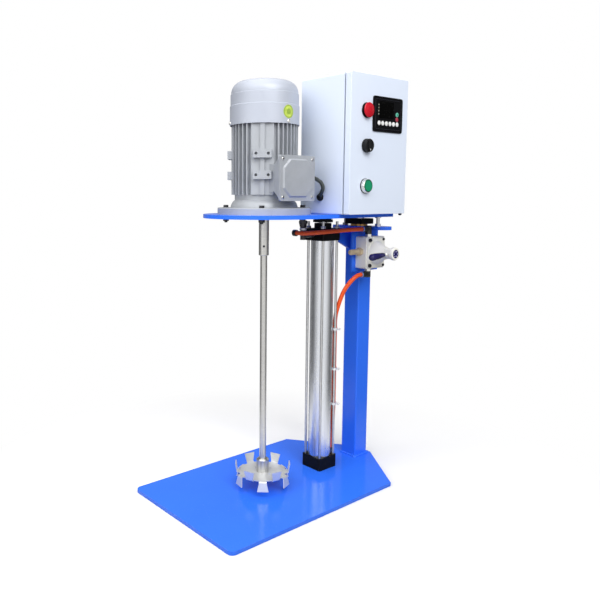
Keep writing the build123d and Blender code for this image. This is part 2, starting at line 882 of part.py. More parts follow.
pad_half_angle = degrees(asin((pad_width / 2 + fin_thickness) / (fin_diameter / 2)))
box_half_angle = degrees(asin((box_seat_width / 2 + fin_thickness) / (fin_diameter / 2)))
fin_angles = [step * fin_pitch_angle for step in range(round(360 / fin_pitch_angle))]
open_angles = [a for a in fin_angles if min(apart(a, pad) for pad in pad_angles) > pad_half_angle]
short_fins = [a for a in open_angles if apart(a, 0) < box_half_angle]
long_fins = [a for a in open_angles if apart(a, 0) >= box_half_angle]
fin_root_radius = (frame_bore + frame_wall_diameter) / 4
short_fin_bottom = box_z + box_seat_height / 2 + fin_thickness


def fins(angles, bottom):
    """Radial cooling fins at the given angles, from a level up to the frame's top."""
    with BuildSketch(level(0, 0, bottom)) as outline:
        for angle in angles:
            with PolarLocations((fin_root_radius + fin_diameter / 2) / 2, 1, start_angle=angle):
                Rectangle(fin_diameter / 2 - fin_root_radius, fin_thickness)
    extrude(outline.sketch, amount=frame_top - bottom)


def radial_block(angle, reach, width, bottom, height):
    """A block out of the frame in one direction, up to a reach from the motor's axis."""
    with BuildSketch(level(0, 0, bottom)) as outline:
        with PolarLocations((fin_root_radius + reach) / 2, 1, start_angle=angle):
            Rectangle(reach - fin_root_radius, width)
    extrude(outline.sketch, amount=height)


with BuildPart() as motor_frame:
    with BuildSketch(level(0, 0, frame_bottom)):
        Circle(frame_wall_diameter / 2)
    extrude(amount=frame_length)
    fins(long_fins, frame_bottom)
    fins(short_fins, short_fin_bottom)
    for pad_angle in pad_angles:
        radial_block(pad_angle, pad_radius, pad_width, frame_bottom, frame_length)
        radial_block(pad_angle, pad_strip_radius, pad_strip_width, frame_bottom, frame_length)
        for lug_level in lug_levels:
            lug_bottom = top_plate_top + lug_level - lug_height / 2
            radial_block(pad_angle, lug_radius, lug_width, lug_bottom, lug_height)
    with BuildSketch(facing_operator(box_seat_x, 0, box_z)):
        Rectangle(box_seat_width, box_seat_height)
    extrude(amount=-box_seat_depth)
    with BuildSketch(level(0, 0, frame_bottom)):
        Circle(frame_bore / 2)
    extrude(amount=frame_length, mode=Mode.SUBTRACT)
    with BuildSketch(facing_operator(box_seat_x, 0, box_z)):
        Circle(wire_hole_diameter / 2)
    extrude(amount=-box_seat_depth, mode=Mode.SUBTRACT)
    for pad_angle in pad_angles:
        outward = Vector(cos(radians(pad_angle)), sin(radians(pad_angle)), 0)
        for lug_level in lug_levels:
            face_center = lug_radius * outward + Vector(0, 0, top_plate_top + lug_level)
            face = Plane(origin=face_center, x_dir=(-outward.Y, outward.X, 0), z_dir=outward)
            with BuildSketch(face):
                with GridLocations(lug_hole_span, 0, 2, 1):
                    Circle(lug_hole / 2)
            extrude(amount=-lug_hole_depth, mode=Mode.SUBTRACT)
keep(motor_frame.part, "motor_frame")

with BuildPart() as rear_shield:
    with BuildSketch(level(0, 0, frame_top)):
        Circle(frame_wall_diameter / 2)
        for lug_angle in shield_lug_angles:
            lug_reach = cowl_diameter / 2 - cowl_wall - slide_clearance
            with PolarLocations(lug_reach / 2, 1, start_angle=lug_angle):
                Rectangle(lug_reach, shield_lug_width)
        Circle(cowl_diameter / 2 - cowl_wall - slide_clearance, mode=Mode.INTERSECT)
    extrude(amount=rear_shield_thickness)
    with BuildSketch(level(0, 0, frame_top)):
        Circle(rear_hub_diameter / 2)
    extrude(amount=-rear_hub_depth)
    with BuildSketch(level(0, 0, frame_top - rear_hub_depth)):
        Circle(bearing_outer / 2 + running_clearance)
    extrude(amount=rear_bearing_bottom + bearing_width - frame_top + rear_hub_depth, mode=Mode.SUBTRACT)
    with Locations((0, 0, shield_top)):
        Hole(shaft_passage / 2)
keep(rear_shield.part, "rear_shield")

with BuildPart() as bearings:
    for bearing_bottom in (front_bearing_bottom, rear_bearing_bottom):
        with BuildSketch(level(0, 0, bearing_bottom)):
            Circle(bearing_outer / 2)
            Circle(shaft_core_diameter / 2 + running_clearance, mode=Mode.SUBTRACT)
        extrude(amount=bearing_width)
keep(bearings.part, "bearings")


def cowl_section(inset):
    """Half section of the cowl: two stepped bands, then a shoulder arc up to the flat top."""
    radius = cowl_diameter / 2 - inset
    low = cowl_bottom + cowl_band_low
    high = cowl_bottom + cowl_band_high
    top = cowl_top - inset
    shoulder = cowl_shoulder_radius - inset
    Polyline(
        (0, top),
        (0, cowl_bottom),
        (radius, cowl_bottom),
        (radius, low),
        (radius - cowl_step, low + cowl_step),
        (radius - cowl_step, high),
        (radius - 2 * cowl_step, high + cowl_step),
        (radius - 2 * cowl_step, top - shoulder),
    )
    RadiusArc((radius - 2 * cowl_step, top - shoulder), (radius - 2 * cowl_step - shoulder, top), -shoulder)
    Line((radius - 2 * cowl_step - shoulder, top), (0, top))


with BuildPart() as motor_cowl:
    for inset, mode in ((0, Mode.ADD), (cowl_wall, Mode.SUBTRACT)):
        with BuildSketch(Plane.XZ):
            with BuildLine():
                cowl_section(inset)
            make_face()
        revolve(axis=Axis.Z, mode=mode)
    with BuildSketch(level(0, 0, cowl_top)):
        with PolarLocations((grille_inner + grille_outer) / 2, grille_slots):
            SlotOverall(grille_outer - grille_inner, grille_slot_width)
    extrude(amount=-2 * cowl_wall, mode=Mode.SUBTRACT)
keep(motor_cowl.part, "motor_cowl")

# Inside the motor: stator, rotor, fan and shaft

with BuildPart() as stator:
    with BuildSketch(level(0, 0, stator_z)):
        Circle(frame_bore / 2 - running_clearance)
        Circle(stator_bore / 2, mode=Mode.SUBTRACT)
    extrude(amount=stator_length / 2, both=True)
    with BuildSketch(level(0, 0, stator_z)):
        Circle(winding_outer / 2)
        Circle(winding_inner / 2, mode=Mode.SUBTRACT)
    extrude(amount=stator_length / 2 + winding_height, both=True)
keep(stator.part, "stator")

with BuildPart() as rotor_core:
    with BuildSketch(level(0, 0, stator_z)):
        Circle(rotor_diameter / 2)
        Circle(shaft_core_diameter / 2 + running_clearance, mode=Mode.SUBTRACT)
    extrude(amount=rotor_length / 2, both=True)
keep(rotor_core.part, "rotor_core")

with BuildPart() as cooling_fan:
    with BuildSketch(level(0, 0, fan_bottom)):
        Circle(fan_diameter / 2)
    extrude(amount=fan_plate)
    with BuildSketch(level(0, 0, fan_bottom)):
        Circle(fan_hub_diameter / 2)
    extrude(amount=fan_height)
    with BuildSketch(level(0, 0, fan_bottom)):
        with PolarLocations((fan_hub_diameter + fan_diameter) / 4, fan_blades):
            Rectangle((fan_diameter - fan_hub_diameter) / 2 + fan_plate, fan_blade_thickness)
        Circle(fan_diameter / 2, mode=Mode.INTERSECT)
    extrude(amount=fan_height)
    with Locations((0, 0, fan_top)):
        Hole(shaft_core_diameter / 2 + running_clearance)
keep(cooling_fan.part, "cooling_fan")

with BuildPart() as motor_shaft:
    with BuildSketch(level(0, 0, shaft_end_z)):
        Circle(shaft_end_diameter / 2)
    extrude(amount=bell_bottom - shaft_end_z)
    with BuildSketch(level(0, 0, top_plate_top + shaft_step_level)):
        Circle(shaft_core_diameter / 2)
    extrude(amount=fan_top - top_plate_top - shaft_step_level)
keep(motor_shaft.part, "motor_shaft")

# Terminal box: a body that widens towards its lid, and the lid with a raised eight-sided field


def widening_box(inset, start_x, mode):
    """A loft from the motor's seat to the lid's face, drawn in by an inset on all four sides."""
    with BuildSketch(facing_operator(start_x, 0, box_z)) as seat:
        RectangleRounded(box_seat_width - 2 * inset, box_seat_height - 2 * inset, box_corner_radius)
    with BuildSketch(facing_operator(box_face_x, 0, box_z)) as mouth:
        RectangleRounded(box_width - 2 * inset, box_height - 2 * inset, box_corner_radius)
    loft([seat.sketch, mouth.sketch], mode=mode)


with BuildPart() as terminal_box:
    widening_box(0, box_seat_x, Mode.ADD)
    with BuildSketch(across(box_gland_x, box_boss_y, box_gland_z, (0, -1, 0))):
        Circle(gland_diameter / 2)
    extrude(amount=box_boss_y - box_seat_width / 2)
    widening_box(box_wall, box_seat_x + box_wall, Mode.SUBTRACT)
    with BuildSketch(facing_operator(box_seat_x, 0, box_z)):
        Circle(wire_hole_diameter / 2)
    extrude(amount=box_wall, mode=Mode.SUBTRACT)
    with BuildSketch(across(box_gland_x, box_boss_y, box_gland_z, (0, -1, 0))):
        Circle(gland_thread_diameter / 2 + running_clearance)
    extrude(amount=box_boss_y - box_seat_width / 2, mode=Mode.SUBTRACT)
keep(terminal_box.part, "terminal_box")

with BuildPart() as terminal_lid:
    with BuildSketch(facing_operator(box_face_x, 0, box_z)):
        RectangleRounded(lid_width, lid_height, box_corner_radius)
    extrude(amount=lid_thickness)
    with BuildSketch(facing_operator(box_face_x + lid_thickness, 0, box_z)):
        Rectangle(lid_width - 2 * lid_raise_inset, lid_height - 2 * lid_raise_inset)
        chamfer(vertices(), lid_corner_cut)
    extrude(amount=lid_raise, taper=weld_slope)
    with BuildSketch(facing_operator(box_face_x + lid_thickness, 0, box_z)):
        with GridLocations(lid_width - 2 * lid_screw_inset, lid_height - 2 * lid_screw_inset, 2, 2):
            Circle(lid_screw_sink / 2)
    extrude(amount=-lid_screw_depth, mode=Mode.SUBTRACT)
keep(terminal_lid.part, "terminal_lid")

# Mixing shaft with its sleeve, the toothed disc, its hub and nut

with BuildPart() as coupling_sleeve:
    with BuildSketch(level(0, 0, sleeve_bottom)):
        Circle(sleeve_diameter / 2)
        Circle(shaft_diameter / 2 + running_clearance, mode=Mode.SUBTRACT)
    extrude(amount=sleeve_length)
    with BuildSketch(level(0, 0, shaft_end_z - shaft_joint_gap)):
        Circle(shaft_end_diameter / 2 + running_clearance)
    extrude(amount=sleeve_top - shaft_end_z + shaft_joint_gap, mode=Mode.SUBTRACT)
    chamfer(edges().group_by(Axis.Z)[0].sort_by(SortBy.RADIUS)[-1], sleeve_edge)
    screw_direction = Vector(cos(radians(tooth_phase)), sin(radians(tooth_phase)), 0)
    with BuildSketch(across(0, 0, sleeve_bottom + set_screw_level, screw_direction)):
        Circle(set_screw_diameter / 2)
    extrude(amount=sleeve_diameter, mode=Mode.SUBTRACT)
keep(coupling_sleeve.part, "coupling_sleeve")

with BuildPart() as mixing_shaft:
    with BuildSketch(level(0, 0, nut_top - hub_nut_height - shaft_foot)):
        Circle(shaft_diameter / 2)
    extrude(amount=shaft_end_z - shaft_joint_gap - nut_top + hub_nut_height + shaft_foot)
    chamfer(edges().sort_by(Axis.Z)[0], shaft_foot / 2)
keep(mixing_shaft.part, "mixing_shaft")

tooth_top = disc_level + disc_thickness / 2 + tooth_height
tooth_tip_radius = disc_radius + (tooth_top - disc_level) * tan(radians(tooth_lean))
tooth_outline = [
    (-tooth_root_width / 2, disc_level - disc_thickness),
    (tooth_root_width / 2, disc_level - disc_thickness),
    (tooth_root_width / 2, disc_level + tooth_bend),
    (tooth_tip_width / 2, tooth_top),
    (-tooth_tip_width / 2, tooth_top),
    (-tooth_root_width / 2, disc_level + tooth_bend),
]

with BuildPart() as tooth:
    with BuildSketch(Plane.XZ):
        with BuildLine():
            FilletPolyline(
                (disc_radius - 2 * disc_edge_setback, disc_level),
                (disc_radius, disc_level),
                (tooth_tip_radius, tooth_top),
                radius=tooth_bend,
            )
        trace(line_width=disc_thickness)
    extrude(amount=tooth_tip_width, both=True)
    with BuildSketch(Plane.YZ):
        with BuildLine():
            Polyline(*tooth_outline, close=True)
        make_face()
    extrude(amount=2 * disc_radius, mode=Mode.INTERSECT)

with BuildPart() as disperser_disc:
    with BuildSketch(level(0, 0, disc_level)):
        Circle(disc_radius - disc_edge_setback)
    extrude(amount=disc_thickness / 2, both=True)
    for index in range(tooth_count):
        turned = tooth.part.rotate(Axis.Z, tooth_phase + index * 360 / tooth_count)
        if index % 2 == 0:
            add(mirror(turned, about=level(0, 0, disc_level), mode=Mode.PRIVATE))
        else:
            add(turned)
    with Locations((0, 0, disc_level + disc_thickness / 2)):
        Hole(shaft_diameter / 2 + running_clearance, depth=disc_thickness)
        with PolarLocations(disc_hole_circle_diameter / 2, disc_hole_count):
            Hole(disc_hole_diameter / 2, depth=disc_thickness)
keep(disperser_disc.part, "disperser_disc")

with BuildPart() as disc_hub:
    with BuildSketch(level(0, 0, hub_bottom)):
        Circle(hub_diameter / 2)
    extrude(amount=hub_height)
    chamfer(edges().sort_by(Axis.Z)[-1], hub_chamfer)
    with BuildSketch(level(0, 0, nut_top)):
        RegularPolygon(hub_nut_diameter / 2, 6)
    extrude(amount=-hub_nut_height)
    with Locations((0, 0, hub_bottom + hub_height)):
        Hole(shaft_diameter / 2 + running_clearance)
keep(disc_hub.part, "disc_hub")

# Control cabinet: a case open to the operator, with a rim that the door closes over

opening_width = cabinet_width - 2 * rim_inset
opening_height = cabinet_height - 2 * rim_inset
cabinet_back = facing_operator(cabinet_left_x, cabinet_center_y, cabinet_center_z)
hinge_bottoms = [cabinet_bottom + hinge_low, cabinet_bottom + hinge_high]

with BuildPart() as enclosure:
    with BuildSketch(cabinet_back):
        RectangleRounded(cabinet_width, cabinet_height, cabinet_edge_radius)
    extrude(amount=body_front_x - cabinet_left_x)
    with BuildSketch(facing_operator(body_front_x, cabinet_center_y, cabinet_center_z)):
        Rectangle(opening_width, opening_height)
    extrude(amount=rim_depth)
    with BuildSketch(facing_operator(cabinet_left_x + cabinet_wall, cabinet_center_y, cabinet_center_z)):
        Rectangle(cabinet_width - 2 * cabinet_wall, cabinet_height - 2 * cabinet_wall)
    extrude(amount=body_front_x - cabinet_left_x - 2 * cabinet_wall, mode=Mode.SUBTRACT)
    with BuildSketch(facing_operator(body_front_x + rim_depth, cabinet_center_y, cabinet_center_z)):
        Rectangle(opening_width - 2 * cabinet_wall, opening_height - 2 * cabinet_wall)
    extrude(amount=-rim_depth - 2 * cabinet_wall, mode=Mode.SUBTRACT)
    for gland_y, inward in ((cabinet_front_y, 1), (cabinet_rear_y, -1)):
        with BuildSketch(across(cabinet_gland_x, gland_y, cabinet_gland_z, (0, inward, 0))):
            Circle(gland_thread_diameter / 2 + running_clearance)
        extrude(amount=cabinet_wall, mode=Mode.SUBTRACT)
    for bottom in hinge_bottoms:
        with BuildSketch(level(hinge_x, hinge_y, bottom)):
            Circle(hinge_barrel / 2)
            with Locations((0, (rim_inset - hinge_inset) / 2)):
                Rectangle(hinge_neck, rim_inset - hinge_inset)
            Circle(hinge_pin_diameter / 2 + running_clearance, mode=Mode.SUBTRACT)
        extrude(amount=hinge_knuckle_height)
keep(enclosure.part, "enclosure")

with BuildPart() as hinge_pins:
    for bottom in hinge_bottoms:
        with BuildSketch(level(hinge_x, hinge_y, bottom)):
            Circle(hinge_pin_diameter / 2)
        extrude(amount=2 * hinge_knuckle_height + slide_clearance)
keep(hinge_pins.part, "hinge_pins")

plate_x = cabinet_left_x + cabinet_wall + standoff_height
plate_width = cabinet_width - 2 * cabinet_wall - 2 * mounting_plate_margin
plate_height = cabinet_height - 2 * cabinet_wall - 2 * mounting_plate_margin

with BuildPart() as mounting_plate:
    with BuildSketch(facing_operator(plate_x, cabinet_center_y, cabinet_center_z)):
        Rectangle(plate_width, plate_height)
    extrude(amount=mounting_plate_thickness)
    with BuildSketch(facing_operator(plate_x, cabinet_center_y, cabinet_center_z)):
        with GridLocations(plate_width - 2 * standoff_diameter, plate_height - 2 * standoff_diameter, 2, 2):
            Circle(standoff_diameter / 2)
    extrude(amount=-standoff_height)
keep(mounting_plate.part, "mounting_plate")

drive_x = plate_x + mounting_plate_thickness
drive_z = cabinet_top - drive_drop

with BuildPart() as inverter:
    with BuildSketch(facing_operator(drive_x, cabinet_center_y, drive_z)):
        Rectangle(drive_width, drive_height)
    extrude(amount=drive_depth)
    fillet(edges().group_by(Axis.X)[-1], drive_edge_radius)
    with BuildSketch(level(drive_x + drive_depth / 2, cabinet_center_y, drive_z + drive_height / 2)):
        with GridLocations(0, drive_vent_pitch, 1, drive_vent_count):
            SlotOverall(drive_vent_length, drive_vent_width)
    extrude(amount=-drive_vent_depth, mode=Mode.SUBTRACT)
keep(inverter.part, "inverter")

# Door: a folded tray, with a knuckle above each of the case's, and the holes for its controls

keypad_y = cabinet_front_y + keypad_from_edge + keypad_width / 2
keypad_z = cabinet_top - keypad_drop
stop_z = cabinet_top - stop_drop
start_z = cabinet_top - start_drop
knob_z = cabinet_top - knob_drop
neck_hole = switch_neck_diameter / 2 + running_clearance
skin_x = cabinet_face_x - cabinet_wall

with BuildPart() as door:
    with BuildSketch(facing_operator(door_back_x, cabinet_center_y, cabinet_center_z)):
        RectangleRounded(cabinet_width, cabinet_height, cabinet_edge_radius)
    extrude(amount=door_depth)
    fillet(edges().group_by(Axis.X)[-1], cabinet_wall / 2)
    with BuildSketch(facing_operator(door_back_x, cabinet_center_y, cabinet_center_z)):
        Rectangle(cabinet_width - 2 * cabinet_wall, cabinet_height - 2 * cabinet_wall)
    extrude(amount=door_depth - cabinet_wall, mode=Mode.SUBTRACT)
    with BuildSketch(facing_operator(skin_x, keypad_y, keypad_z)):
        Rectangle(keypad_width - 2 * keypad_lip, keypad_height - 2 * keypad_lip)
    extrude(amount=cabinet_wall, mode=Mode.SUBTRACT)
    for control_z, radius in (
        (stop_z, neck_hole),
        (start_z, neck_hole),
        (knob_z, knob_bushing_diameter / 2 + running_clearance),
    ):
        with BuildSketch(facing_operator(skin_x, controls_y, control_z)):
            Circle(radius)
        extrude(amount=cabinet_wall, mode=Mode.SUBTRACT)
    for bottom in hinge_bottoms:
        knuckle_bottom = bottom + hinge_knuckle_height + slide_clearance
        with BuildSketch(level(hinge_x, hinge_y, knuckle_bottom)):
            Circle(hinge_barrel / 2)
            with Locations((0, (cabinet_wall - hinge_inset) / 2)):
                Rectangle(hinge_neck, hinge_inset - cabinet_wall)
            Circle(hinge_pin_diameter / 2 + running_clearance, mode=Mode.SUBTRACT)
        extrude(amount=hinge_knuckle_height)
keep(door.part, "door")

# Keypad in its frame: bevelled edge, sunk field with the screen, one row of keys and two beside it

field_x = cabinet_face_x + keypad_proud - keypad_recess
key_places = [
    (key_row[0] + (index - (key_count - 1) / 2) * key_pitch, key_row[1])
    for index in range(key_count)
]

with BuildPart() as keypad:
    with BuildSketch(facing_operator(cabinet_face_x, keypad_y, keypad_z)):
        RectangleRounded(keypad_width, keypad_height, keypad_corner)
    extrude(amount=keypad_proud)
    chamfer(edges().group_by(Axis.X)[-1], keypad_bevel)
    with BuildSketch(facing_operator(cabinet_face_x, keypad_y, keypad_z)):
        Rectangle(
            keypad_width - 2 * keypad_lip - 2 * running_clearance,
            keypad_height - 2 * keypad_lip - 2 * running_clearance,
        )
    extrude(amount=-keypad_depth)
    with BuildSketch(facing_operator(field_x, keypad_y, keypad_z)):
        Rectangle(keypad_width - 2 * keypad_frame, keypad_height - 2 * keypad_frame)
    extrude(amount=keypad_recess, mode=Mode.SUBTRACT)
    with BuildSketch(facing_operator(field_x, keypad_y, keypad_z)):
        with Locations(screen_offset):
            Rectangle(screen_width, screen_height)
    extrude(amount=-screen_recess, mode=Mode.SUBTRACT)
    with BuildSketch(facing_operator(field_x, keypad_y, keypad_z)):
        with Locations(*key_places, run_key_offset, halt_key_offset):
            Circle(key_diameter / 2)
    extrude(amount=key_height)
keep(keypad.part, "keypad")

# Switches behind the door, their bezels in front, the two buttons and the speed knob

body_face_x = skin_x - switch_body_gap
stem_end_x = cabinet_face_x - button_stem_depth
knob_skirt_x = cabinet_face_x + slide_clearance
knob_grip_x = knob_skirt_x + knob_skirt_height
knob_socket_x = knob_skirt_x - knob_stem_depth - 2 * slide_clearance

with BuildPart() as switch_bodies:
    for control_z, travel in ((stop_z, stop_travel), (start_z, start_travel)):
        with BuildSketch(facing_operator(body_face_x, controls_y, control_z)):
            Rectangle(switch_body_side, switch_body_side)
        extrude(amount=-switch_body_depth)
        with BuildSketch(facing_operator(body_face_x, controls_y, control_z)):
            Circle(switch_neck_diameter / 2)
        extrude(amount=cabinet_face_x + switch_neck_reach - body_face_x)
        with BuildSketch(facing_operator(stem_end_x - travel - slide_clearance, controls_y, control_z)):
            Circle(button_stem / 2 + slide_clearance)
        extrude(amount=2 * switch_body_depth, mode=Mode.SUBTRACT)
    with BuildSketch(facing_operator(body_face_x, controls_y, knob_z)):
        Circle(potentiometer_diameter / 2)
    extrude(amount=-potentiometer_depth)
    with BuildSketch(facing_operator(body_face_x, controls_y, knob_z)):
        Circle(knob_bushing_diameter / 2)
    extrude(amount=cabinet_face_x - body_face_x)
    with BuildSketch(facing_operator(knob_socket_x, controls_y, knob_z)):
        Circle(knob_stem / 2 + running_clearance)
    extrude(amount=2 * knob_stem_depth, mode=Mode.SUBTRACT)
keep(switch_bodies.part, "switch_bodies")

with BuildPart() as button_bezels:
    for control_z, outer, height, cap in (
        (stop_z, stop_bezel_diameter, stop_bezel_height, stop_cap_diameter),
        (start_z, start_bezel_diameter, start_bezel_height, start_cap_diameter),
    ):
        with BuildSketch(facing_operator(cabinet_face_x, controls_y, control_z)):
            Circle(outer / 2)
            Circle(neck_hole, mode=Mode.SUBTRACT)
        extrude(amount=height)
        with BuildSketch(facing_operator(cabinet_face_x + bezel_web, controls_y, control_z)):
            Circle(cap / 2 + slide_clearance)
        extrude(amount=height, mode=Mode.SUBTRACT)
keep(button_bezels.part, "button_bezels")

stop_cap_x = cabinet_face_x + bezel_web + stop_travel + slide_clearance
start_cap_x = cabinet_face_x + bezel_web + start_travel + slide_clearance
start_cap_top = cabinet_face_x + start_bezel_height + start_cap_proud

with BuildPart() as stop_button:
    with BuildSketch(facing_operator(stop_cap_x, controls_y, stop_z)):
        Circle(stop_cap_diameter / 2)
    extrude(amount=stop_cap_height)
    fillet(edges().sort_by(Axis.X)[-1], stop_cap_round)
    with BuildSketch(facing_operator(stop_cap_x, controls_y, stop_z)):
        Circle(button_stem / 2)
    extrude(amount=stem_end_x - stop_cap_x)
keep(stop_button.part, "stop_button")

with BuildPart() as start_button:
    with BuildSketch(facing_operator(start_cap_x, controls_y, start_z)):
        Circle(start_cap_diameter / 2)
    extrude(amount=start_cap_top - start_cap_x)
    fillet(edges().sort_by(Axis.X)[-1], start_cap_proud)
    with BuildSketch(facing_operator(start_cap_x, controls_y, start_z)):
        Circle(button_stem / 2)
    extrude(amount=stem_end_x - start_cap_x)
keep(start_button.part, "start_button")

with BuildPart() as speed_knob:
    with BuildSketch(facing_operator(knob_skirt_x, controls_y, knob_z)):
        Circle(knob_skirt_diameter / 2)
    extrude(amount=knob_skirt_height)
    chamfer(edges().sort_by(Axis.X)[-1], knob_skirt_height / 3)
    with BuildSketch(facing_operator(knob_grip_x, controls_y, knob_z)):
        Circle(knob_grip_diameter / 2)
        with PolarLocations((knob_grip_diameter + knob_flute_diameter / 2) / 2, knob_flutes):
            Circle(knob_flute_diameter / 2, mode=Mode.SUBTRACT)
    extrude(amount=knob_grip_height)
    with BuildSketch(facing_operator(knob_skirt_x, controls_y, knob_z)):
        Circle(knob_stem / 2)
    extrude(amount=-knob_stem_depth)
keep(speed_knob.part, "speed_knob")

# Hand valve: bracket on the column, body, cover, and the lever with its grip

with BuildPart() as valve_bracket:
    with BuildSketch(level(bracket_x, valve_center_y, column_top)):
        Rectangle(bracket_thickness, bracket_width, align=(Align.MIN, Align.CENTER))
    extrude(amount=-bracket_height)
keep(valve_bracket.part, "valve_bracket")

inlet_x = valve_back_x + valve_depth / 2

with BuildPart() as valve_body:
    with BuildSketch(facing_operator(valve_back_x, valve_center_y, valve_center_z)):
        RectangleRounded(valve_width, valve_height, valve_edge_radius)
    extrude(amount=valve_depth)
    with Locations((valve_port_x, valve_port_y, valve_top)):
        Hole(fitting_thread_diameter / 2 + running_clearance, depth=fitting_thread)
    with BuildSketch(across(valve_port_x, valve_port_y, valve_bottom, (0, 0, 1))):
        Circle(fitting_thread_diameter / 2 + running_clearance)
    extrude(amount=fitting_thread, mode=Mode.SUBTRACT)
    with BuildSketch(across(silencer_x, valve_front_y, silencer_level, (0, 1, 0))):
        Circle(fitting_thread_diameter / 2 + running_clearance)
    extrude(amount=fitting_thread, mode=Mode.SUBTRACT)
    with BuildSketch(across(inlet_x, valve_rear_y, valve_center_z, (0, -1, 0))):
        Circle(valve_inlet_diameter / 2)
    extrude(amount=valve_inlet_depth, mode=Mode.SUBTRACT)
    with BuildSketch(facing_operator(valve_front_x, valve_center_y, valve_center_z)):
        Circle(spindle_diameter / 2 + running_clearance)
    extrude(amount=-spindle_seat_depth - slide_clearance, mode=Mode.SUBTRACT)
keep(valve_body.part, "valve_body")

with BuildPart() as valve_cover:
    with BuildSketch(facing_operator(valve_front_x, valve_center_y, valve_center_z)):
        RectangleRounded(cover_width, cover_height, valve_edge_radius)
    extrude(amount=cover_flange)
    with BuildSketch(Plane(origin=(valve_front_x + cover_flange, valve_center_y, valve_center_z),
                           x_dir=(0, 1, 0), z_dir=(0, 0, -1))):
        with BuildLine():
            Polyline(
                (cover_neck_diameter / 2, dome_depth),
                (cover_neck_diameter / 2, dome_depth + cover_neck_depth),
                (0, dome_depth + cover_neck_depth),
                (0, 0),
                (dome_diameter / 2, 0),
            )
            ThreePointArc(
                (dome_diameter / 2, 0),
                (dome_diameter / 2 * dome_neck_ratio, dome_depth * dome_neck_ratio),
                (cover_neck_diameter / 2, dome_depth),
            )
        make_face()
    revolve(axis=Axis((valve_front_x, valve_center_y, valve_center_z), (1, 0, 0)))
    with BuildSketch(facing_operator(valve_front_x, valve_center_y, valve_center_z)):
        Circle(spindle_diameter / 2 + running_clearance)
    extrude(amount=cover_front_x - valve_front_x, mode=Mode.SUBTRACT)
keep(valve_cover.part, "valve_cover")

hub_x = cover_front_x + slide_clearance
lever_direction = Vector(0, -cos(radians(lever_tilt)), -sin(radians(lever_tilt)))
lever_center = Vector(hub_x + lever_from_neck, valve_center_y, valve_center_z)

with BuildPart() as valve_lever:
    with BuildSketch(facing_operator(hub_x, valve_center_y, valve_center_z)):
        Circle(lever_hub_diameter / 2)
    extrude(amount=lever_hub_depth)
    chamfer(edges().group_by(Axis.X)[-1], lever_hub_recess_depth)
    with BuildSketch(facing_operator(hub_x + lever_hub_depth, valve_center_y, valve_center_z)):
        Circle(lever_hub_recess / 2)
    extrude(amount=-lever_hub_recess_depth, mode=Mode.SUBTRACT)
    with BuildSketch(facing_operator(hub_x, valve_center_y, valve_center_z)):
        Circle(spindle_diameter / 2)
    extrude(amount=valve_front_x - hub_x - spindle_seat_depth)
    with BuildSketch(across(*lever_center, lever_direction)):
        Circle(lever_rod_diameter / 2)
    extrude(amount=lever_rod_length)
keep(valve_lever.part, "valve_lever")


def grip_section():
    """Half section of the lever's grip: a slow swell to its widest point and a round end."""
    small = grip_small_diameter / 2
    big = grip_big_diameter / 2
    shoulder = grip_start + grip_length - big
    swell_radius = ((shoulder - grip_start) ** 2 + (big - small) ** 2) / (2 * (big - small))
    Polyline((grip_start + grip_length, 0), (grip_start, 0), (grip_start, small))
    RadiusArc((grip_start, small), (shoulder, big), swell_radius)
    RadiusArc((shoulder, big), (grip_start + grip_length, 0), big)


with BuildPart() as lever_knob:
    with BuildSketch(Plane(origin=lever_center, x_dir=lever_direction, z_dir=(1, 0, 0))):
        with BuildLine():
            grip_section()
        make_face()
    revolve(axis=Axis(lever_center, lever_direction))
    with BuildSketch(across(*lever_center, lever_direction)):
        Circle(lever_rod_diameter / 2 + running_clearance)
    extrude(amount=lever_rod_length + slide_clearance, mode=Mode.SUBTRACT)
keep(lever_knob.part, "lever_knob")

# Silencer on the valve, the three push-in elbows and the flow control with its knob

with BuildPart() as silencer:
    with BuildSketch(across(silencer_x, valve_front_y, silencer_level, (0, -1, 0))):
        RegularPolygon(silencer_hex / 2, 6, major_radius=False)
    extrude(amount=silencer_hex_height)
    with BuildSketch(across(silencer_x, valve_front_y, silencer_level, (0, -1, 0))):
        Circle(silencer_diameter / 2)
    extrude(amount=silencer_hex_height + silencer_length)
    fillet(edges().sort_by(Axis.Y)[0], silencer_end_radius)
    with BuildSketch(across(silencer_x, valve_front_y, silencer_level, (0, -1, 0))):
        Circle(fitting_thread_diameter / 2)
    extrude(amount=-fitting_thread)
keep(silencer.part, "silencer")

forwards = Vector(0, -1, 0)
upwards = Vector(0, 0, 1)
upper_port = Vector(valve_port_x, valve_port_y, valve_top)
lower_port = Vector(valve_port_x, valve_port_y, valve_bottom)
foot_port = Vector(0, cap_rear_y, foot_port_z)
elbow("upper_elbow", upper_port, upwards, upper_elbow_reach, forwards)
elbow("lower_elbow", lower_port, -upwards, lower_elbow_reach, forwards)
elbow("foot_elbow", foot_port, -forwards, foot_elbow_reach, upwards)

flow_top = head_cap_top + flow_collar_above_cap
collar_bottom = flow_top - flow_collar_height
arm_middle = Vector(flow_arm_x - fitting_arm / 2, flow_arm_y, flow_arm_z)
body_middle = Vector(flow_x, flow_y, flow_arm_z)

